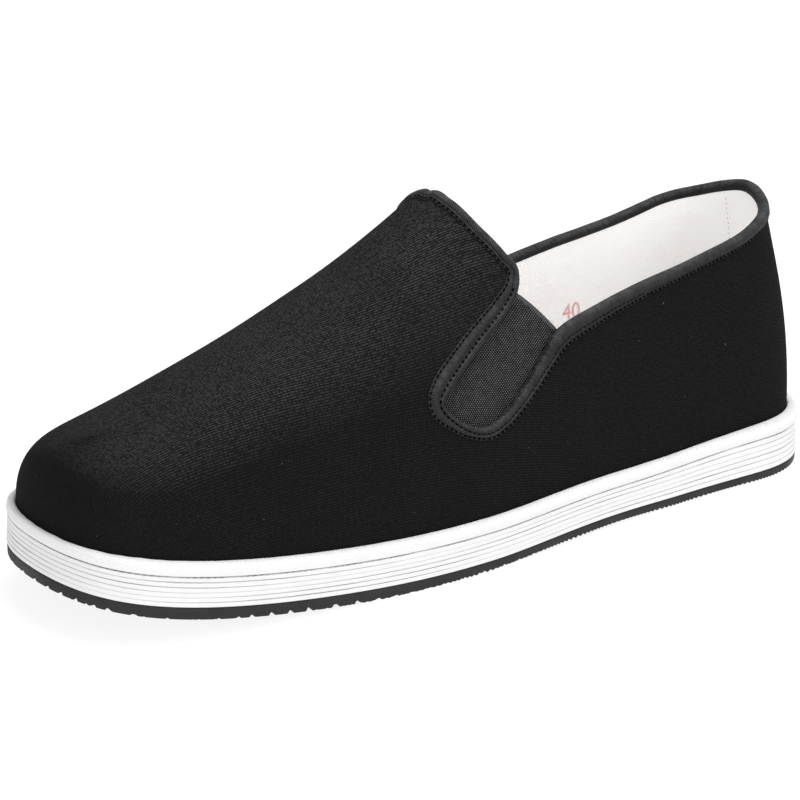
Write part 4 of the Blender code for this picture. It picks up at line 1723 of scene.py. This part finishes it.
@dataclass
class Elastic:
    """The two elastic panels behind the notches, each with a folded hem on top."""

    last: ShoeLast
    thickness: float = 0.9 * MM
    column_pitch: float = 0.72 * MM
    hem: float = 1.3 * MM
    rows: int = 90
    columns: int = 160
    rails: tuple[Rail, ...] = (
        Rail(0.475, 49.8, 0.438, 34.0),
        Rail(0.498, 48.3, 0.456, 30.6),
        Rail(0.528, 45.2, 0.474, 27.6),
        Rail(0.556, 40.8, 0.491, 24.7),
        Rail(0.569, 35.5, 0.508, 21.8),
        Rail(0.567, 28.8, 0.527, 19.5),
    )

    def panel(self, name: str, side: Side) -> bpy.types.Object:
        """One panel, with fine standing columns and a thicker hem.

        Args:
            name: the piece's name.
            side: its side.

        Returns:
            The new object.
        """
        rails = spread_rows(self.rails, self.rows)[:, None]
        share = np.linspace(0, 1, self.columns)[None, :, None]
        station, rise = np.moveaxis(rails[..., 2:] + (rails[..., :2] - rails[..., 2:]) * share, -1, 0)
        flat = self.last.bare(station, rise, side.value)
        down, over = run_length(flat), run_length(flat, axis=1)
        middle = over - over[:, self.columns // 2, None]
        hem = 1 - smooth_step(0.75 * self.hem, self.hem, down)
        ribs = 0.05 * MM * np.cos(2 * math.pi * middle / self.column_pitch) * (1 - hem)
        lift = ribs + 0.28 * MM * hem * np.sin(math.pi * np.clip(down / self.hem, 0.1, 0.9)) + 0.05 * MM
        depth = self.last.wall + self.last.fit
        points = flat + self.last.normal(station, rise, side.value) * (lift - depth)[..., None]
        faces = grid_faces(self.rows, self.columns, flip=side is Side.OUTER)
        panel = make_piece(name, points, faces, np.stack([down, middle], -1) / MM, closed=False)
        return thicken(panel, self.thickness)

    def build(self) -> None:
        """Build and dress both panels."""
        finish = ElasticWeb().build()
        dress(self.panel("elastic_outer", Side.OUTER), finish, "elastic", "gore_outer")
        dress(self.panel("elastic_inner", Side.INNER), finish, "elastic", "gore_inner")


class Strip(NamedTuple):
    """A binding's section at a row of the mouth table, all in mm but the row and the share."""

    row: float
    into: float         # how far it lies over the cloth
    beyond: float       # how far it stands out past the cloth's edge
    rolled: float       # 1 for a full roll, 0 for a flat fold
    low: float          # its lower seam
    high: float         # its upper seam, or where the roll starts


class Fold(NamedTuple):
    """A corner of a binding's hidden side: a share of its reach past the edge, mm into the cloth, mm out."""

    reach: float
    into: float
    out: float


@dataclass
class Bindings:
    """The tape round the collar, both notches and the throat, with its stitching."""

    last: ShoeLast
    split: float = 0.004            # half the gap between the two tapes, in rows of the mouth
    spacing: float = 0.48 * MM
    face_steps: int = 31
    back_steps: int = 15
    cloth: float = 0.40             # the tape's own thickness in mm
    pad: float = 0.34
    roll_height: float = 1.38
    fold_height: float = 0.72
    stitch_pitch: float = 1.70 * MM
    thread_width: float = 0.76 * MM
    strips: tuple[Strip, ...] = (
        Strip(0.0, 2.50, 1.80, 1.2, 2.05, 1.60),
        Strip(1.5, 2.50, 1.65, 1.0, 2.05, 1.60),
        Strip(3.9, 2.60, 1.65, 1.0, 2.15, 1.60),
        Strip(4.7, 3.60, 1.65, 1.0, 3.10, 1.75),
        Strip(5.6, 4.40, 1.65, 0.9, 3.90, 2.20),
        Strip(6.3, 4.30, 1.50, 0.7, 3.80, 2.10),
        Strip(7.2, 3.70, 1.05, 0.3, 3.20, 1.60),
        Strip(8.5, 3.30, 0.85, 0.15, 2.80, 1.25),
        Strip(9.6, 3.10, 0.85, 0.1, 2.60, 1.15),
        Strip(10.3, 2.80, 0.80, 0.1, 2.30, 1.00),
        Strip(11.2, 3.00, 0.85, 0.1, 2.50, 0.50),
        Strip(12.0, 3.80, 1.10, 0.1, 3.30, -0.05),
        Strip(13.0, 4.30, 2.40, 0.1, 3.80, -0.30),
        Strip(14.0, 3.60, 2.90, 0.1, 3.10, -0.60),
        Strip(15.0, 3.40, 2.50, 0.1, 2.90, -0.40),
        Strip(15.8, 3.30, 1.70, 0.1, 2.80, 0.10),
        Strip(16.6, 3.20, 1.00, 0.1, 2.70, 0.90),
        Strip(17.6, 3.10, 0.85, 0.1, 2.60, 1.50),
        Strip(21.0, 3.00, 0.85, 0.1, 2.50, 1.60),
    )
    roll_back: tuple[Fold, ...] = (
        Fold(1.0, 0.0, 0.0), Fold(1.0, 0.0, -0.50), Fold(0.88, 0.0, -1.35), Fold(0.55, 0.0, -2.00),
        Fold(0.06, 0.0, -2.25), Fold(0.0, 0.70, -2.18), Fold(0.0, 0.75, -1.86), Fold(0.0, -0.08, -1.86),
        Fold(0.0, -0.08, 0.03),
    )
    fold_back: tuple[Fold, ...] = (
        Fold(1.0, 0.0, 0.0), Fold(1.0, 0.0, -0.55), Fold(0.97, 0.0, -1.10), Fold(0.90, 0.0, -1.55),
        Fold(0.72, 0.0, -1.82), Fold(0.40, 0.0, -1.92), Fold(0.12, 0.0, -1.90), Fold(0.0, -0.08, -1.86),
        Fold(0.0, -0.08, 0.03),
    )

    def edge_path(self, first: float, final: float) -> np.ndarray:
        """Rows of the mouth table at even spacing, from a first to a last row.

        Args:
            first: the first row.
            final: the last row.

        Returns:
            The rows.
        """
        rows = np.linspace(first, final, 1200)
        places = self.last.mouth(rows)
        run = run_length(self.last.bare(places[:, 0], places[:, 1], 1.0))
        return np.interp(np.linspace(0, run[-1], int(run[-1] / self.spacing) + 1), run, rows)

    def both_sides(self, first: float, final: float) -> tuple[np.ndarray, np.ndarray]:
        """Rows and sides of a path that crosses the shoe at its final row.

        Args:
            first: the first row.
            final: the last row.

        Returns:
            The rows and the sides.
        """
        rows = self.edge_path(first, final)
        return (np.concatenate([rows, rows[-2::-1]]),
                np.concatenate([np.ones(len(rows)), -np.ones(len(rows) - 1)]))

    def swept(self, rows: np.ndarray, sides: np.ndarray) -> tuple[np.ndarray, ...]:
        """The mouth's edge with its directions.

        Args:
            rows: rows of the mouth table.
            sides: the side of each.

        Returns:
            Points of the edge, and the directions ahead, into the cloth and out of its face.
        """
        places = np.where(sides[:, None] > 0, self.last.mouth(rows), self.last.mouth(rows, -1.0))
        edge = self.last.place(places[:, 0], places[:, 1], sides)
        out = self.last.normal(places[:, 0], places[:, 1], sides)
        soft = np.stack([np.convolve(out[:, k], np.ones(15) / 15, mode="same") for k in range(3)], axis=1)
        share = smooth_step(THROAT_TOP - 2.5, THROAT_TOP - 1, rows) + 1 - smooth_step(0.2, 1, rows)
        out = unit(out + (soft - out) * share[:, None])
        ahead = unit(np.gradient(edge, axis=0))
        return edge, ahead, unit(np.cross(ahead, out)), out

    def strip(self, rows: np.ndarray) -> np.ndarray:
        """The binding's section sizes at each row, one column for each of a strip's fields."""
        table = np.array(self.strips).T
        return np.column_stack([np.interp(rows, table[0], column) for column in table])

    def back(self, folds: tuple[Fold, ...], beyond: np.ndarray) -> np.ndarray:
        """Points of a binding's hidden side at each row, from its free edge to the cloth."""
        reach, into, out = spread_rows(folds, self.back_steps).T
        return np.stack(np.broadcast_arrays(into - reach * beyond, out), -1)

    def section(self, rows: np.ndarray) -> np.ndarray:
        """The binding's outline at each row.

        Args:
            rows: rows of the mouth table.

        Returns:
            Its points, in mm into the cloth and out from its face.
        """
        _, into, beyond, rolled, low, high = self.strip(rows).T[:, :, None]
        share = (1 - np.cos(math.pi * np.linspace(0, 1, self.face_steps)))[None] / 2
        across = into - (into + beyond) * share
        crown = self.roll_height * rolled + self.fold_height * (1 - rolled)
        turn = np.clip((across - (high - beyond) / 2) / ((high + beyond) / 2), -1, 1)
        roll = self.cloth * (1 + turn) / 2 + (crown - self.cloth / 2) * np.sqrt(1 - turn ** 2)
        between = np.clip((across - high) / (low - high), 0, 1)
        outside = np.clip((across - low) / (into - low), 0, 1)
        lip = np.sqrt(1 - np.clip(1 - (into - across) / 0.28, 0, 1) ** 2)
        flat = (self.cloth + self.pad * (1 - 0.6 * rolled) * np.sin(math.pi * between) ** 2
                + 0.16 * np.sin(math.pi * outside)) * lip
        face = np.stack([across, np.maximum(np.where(across < high, roll, flat), 0.03)], -1)
        back = (self.back(self.roll_back, beyond) * rolled[..., None]
                + self.back(self.fold_back, beyond) * (1 - rolled[..., None]))
        return np.concatenate([face, back[:, 1:]], axis=1)

    def tape(self, name: str, rows: np.ndarray, sides: np.ndarray) -> bpy.types.Object:
        """A closed tape swept along the edge, flatter inside where the elastic lies behind it.

        Args:
            name: the piece's name.
            rows: rows of the mouth table along it.
            sides: their sides, turned over if the cloth lies on its other hand.

        Returns:
            The new object.
        """
        edge, _, into, out = self.swept(rows, sides)
        shape = self.section(rows)
        run, girth = run_length(edge) / MM, run_length(shape[len(shape) // 2])
        behind = np.clip(rows - (NOTCH_TOP - 0.4), 0, 1) * np.clip(THROAT_CORNER + 0.2 - rows, 0, 1)
        behind, (along, lift) = behind[:, None], np.moveaxis(shape, -1, 0)
        lift = np.where(lift < -1.9, lift + (-1.9 - lift) * behind, lift)
        along = np.where((lift < -1.5) & (along > -0.1), along + (-0.1 - along) * behind, along)
        wave = 0.05 * np.sin(run / 2.6 + np.sin(run / 9)) + 0.035 * np.sin(run / 1.15)
        lift = lift + wave[:, None] * np.clip(lift, 0, 1)
        points = (edge[:, None] + into[:, None] * (along * MM)[..., None]
                  + out[:, None] * (lift * MM)[..., None])
        count, columns = along.shape
        cloth = np.stack(np.broadcast_arrays(run[:, None], girth[None]), -1)
        faces = list(grid_faces(count, columns, wrap=True))
        faces += [range(columns), range(count * columns - 1, (count - 1) * columns - 1, -1)]
        return make_piece(name, points, faces, cloth, sharp=75.0)

    def seam(self, stitches: Stitches, name: str, first: float, final: float, cross: bool) -> None:
        """A row of stitches on the tape.

        Args:
            stitches: what sews it.
            name: the piece's name, which ends in the strip's field that places the seam.
            first: first row of the mouth table.
            final: last row.
            cross: joins both sides over the last row.
        """
        runs, field = [], Strip._fields.index(name.rpartition("_")[2])
        paths = [self.both_sides(first, final)]
        if not cross:
            rows = self.edge_path(first, final)
            paths = [(rows, np.full(len(rows), side.value)) for side in Side]
        for rows, sides in paths:
            edge, ahead, into, out = self.swept(rows, sides)
            away = self.strip(rows)[:, field] * sides[0] * np.sign(first - final) * MM
            runs.append((edge + into * away[:, None] + out * (self.cloth + 0.02) * MM, ahead, out))
        stitches.sew(name, runs, "binding_tape")

    def build(self) -> None:
        """Build and dress both tapes and their stitches."""
        tape = SatinTape().build()
        rows, sides = self.both_sides(NOTCH_BOTTOM - self.split, 0)
        dress(self.tape("collar_roll", rows, sides), tape, "binding_tape", "collar_binding")
        rows, sides = self.both_sides(NOTCH_BOTTOM + self.split, THROAT_TOP)
        dress(self.tape("throat_band", rows, -sides), tape, "binding_tape", "throat_binding")
        stitches = Stitches(Thread().build(), self.stitch_pitch, 0.78 * self.stitch_pitch, self.thread_width,
                            0.7 * self.thread_width, seed=3)
        self.seam(stitches, "collar_stitches_low", NOTCH_BOTTOM - 0.1, 0.0, True)
        self.seam(stitches, "collar_stitches_high", NOTCH_BOTTOM - 0.1, 4.4, False)
        self.seam(stitches, "throat_stitches_low", NOTCH_BOTTOM + 0.1, THROAT_TOP, True)
        self.seam(stitches, "throat_stitches_high", NOTCH_BOTTOM + 0.1, THROAT_CORNER - 0.1, False)


@dataclass
class SizeMark:
    """The plain red size number printed on the lining."""

    last: ShoeLast
    text: str = "40"
    height: float = 5.6 * MM
    station: float = 0.311
    rise: float = 24.4

    def build(self) -> None:
        """Build the digits flat, then lay them on the lining of the inner side."""
        curve = bpy.data.curves.new("size_number", "FONT")
        curve.body, curve.align_x, curve.align_y = self.text, "CENTER", "CENTER"
        holder = add_object("size_number_flat", curve)
        mesh = plain_mesh(holder)
        bpy.data.objects.remove(holder)
        bm = bmesh.new()
        bm.from_mesh(mesh)
        bmesh.ops.triangulate(bm, faces=bm.faces)
        bmesh.ops.subdivide_edges(bm, edges=bm.edges, cuts=2, use_grid_fill=True)
        flat = np.array([v.co for v in bm.verts])
        across, upward, _ = flat.T * (self.height / (flat[:, 1].max() - flat[:, 1].min()))
        stations = np.linspace(self.station - 0.1, self.station + 0.1, 81)
        station = np.interp(self.last.along(self.station) - across, self.last.along(stations), stations)
        rises = np.linspace(0, 60, 241)
        column = self.last.girth(np.full(241, self.station), rises)
        rise = np.interp(self.last.girth(self.station, self.rise) + upward, column, rises)
        placed = self.last.place(station, rise, Side.INNER.value, -(self.last.wall + 0.06 * MM))
        for vertex, point in zip(bm.verts, placed):
            vertex.co = Vector(point)
        bm.to_mesh(mesh)
        bm.free()
        dress(add_object("size_number", mesh), StampInk().build(), "white_cotton")


@dataclass
class Studio:
    """Floor, soft lights and the camera."""

    last: ShoeLast
    azimuth: float = 0.693          # of the camera from +Y towards +X, in radians
    elevation: float = 0.331
    distance: float = 680 * MM
    target_height: float = 35 * MM
    focal_pixels: float = 2319.0
    picture_width: float = 800.0
    pan: float = -0.019
    tilt: float = 0.002
    roll: float = 0.0115
    floor_reach: float = 4.0
    boxes: tuple[tuple[str, tuple[float, float, float], float, float], ...] = (     # place, size and power
        ("overhead", (-0.40, 0.10, 1.5), 1.3, 17.5),
        ("front", (-0.35, 1.5, 0.80), 1.4, 17.0),
        ("toe_fill", (1.5, 0.45, 0.30), 0.8, 9.5),
        ("rear_rim", (-1.4, 0.2, 0.7), 0.8, 0.4),
    )

    def camera(self) -> None:
        """The camera at the photograph's angle."""
        data = bpy.data.cameras.new("view")
        data.sensor_width = 36.0
        data.lens = self.focal_pixels / self.picture_width * data.sensor_width
        data.clip_start, data.clip_end = 0.05, 20.0
        back = Vector((math.sin(self.azimuth) * math.cos(self.elevation),
                       math.cos(self.azimuth) * math.cos(self.elevation), math.sin(self.elevation)))
        ahead, pan, tilt = -back, math.tan(self.pan), math.tan(self.tilt)
        for turn_right, turn_up in ((pan, tilt), (0.0, 0.0)):
            right = ahead.cross(Vector((0, 0, 1))).normalized()
            up = right.cross(ahead)
            ahead = (ahead + right * turn_right + up * turn_up).normalized()
        cos, sin = math.cos(self.roll), math.sin(self.roll)
        turn = Matrix((right * cos + up * sin, up * cos - right * sin, -ahead)).transposed().to_4x4()
        camera = add_object("view", data)
        target = Vector((0, -self.last.plan_middle, self.target_height))
        camera.matrix_world = Matrix.Translation(target + back * self.distance) @ turn
        bpy.context.scene.camera = camera

    def floor(self) -> None:
        """A plain pale floor."""
        mesh, reach = bpy.data.meshes.new("floor"), self.floor_reach
        mesh.from_pydata([(-reach, -reach, 0), (reach, -reach, 0), (reach, reach, 0), (-reach, reach, 0)], [],
                         [(0, 1, 2, 3)])
        material = bpy.data.materials.new("pale_floor")
        material.use_nodes = True
        Board(material.node_tree).feed(material.node_tree.nodes["Principled BSDF"], {
            "Base Color": (0.25, 0.25, 0.25), "Emission Color": (1, 1, 1), "Emission Strength": 0.86,
            "Roughness": 0.9, "Specular IOR Level": 0.1})
        mesh.materials.append(material)
        add_object("floor", mesh)

    def softbox(self, name: str, place: tuple[float, float, float], size: float, power: float) -> None:
        """A square soft light aimed at the shoe.

        Args:
            name: its name.
            place: where it hangs.
            size: length of its side.
            power: its power in watts.
        """
        data = bpy.data.lights.new(name, "AREA")
        data.shape, data.size, data.energy = "SQUARE", size, power
        aim = (Vector((0, 0, 0.04)) - Vector(place)).to_track_quat("-Z", "Y")
        add_object(name, data).matrix_world = Matrix.Translation(place) @ aim.to_matrix().to_4x4()

    def build(self) -> None:
        """Set the camera, floor, lights and world."""
        self.camera()
        self.floor()
        world = bpy.data.worlds.new("studio")
        world.use_nodes = True
        backdrop = world.node_tree.nodes["Background"]
        Board(world.node_tree).feed(backdrop, {"Color": (1, 1, 1), "Strength": 0.40})
        for box in self.boxes:
            self.softbox(*box)
        scene = bpy.context.scene
        scene.world = world
        scene.view_settings.view_transform = "Standard"
        scene.view_settings.look = "None"


def main() -> None:
    """Build every sub-assembly in order."""
    logging.basicConfig(level=logging.INFO, format="%(name)s %(message)s")
    last = ShoeLast()
    for assembly in (Studio, Sole, InsoleCover, Shell, Elastic, Bindings, SizeMark):
        assembly(last).build()


if __name__ == "__main__":
    main()
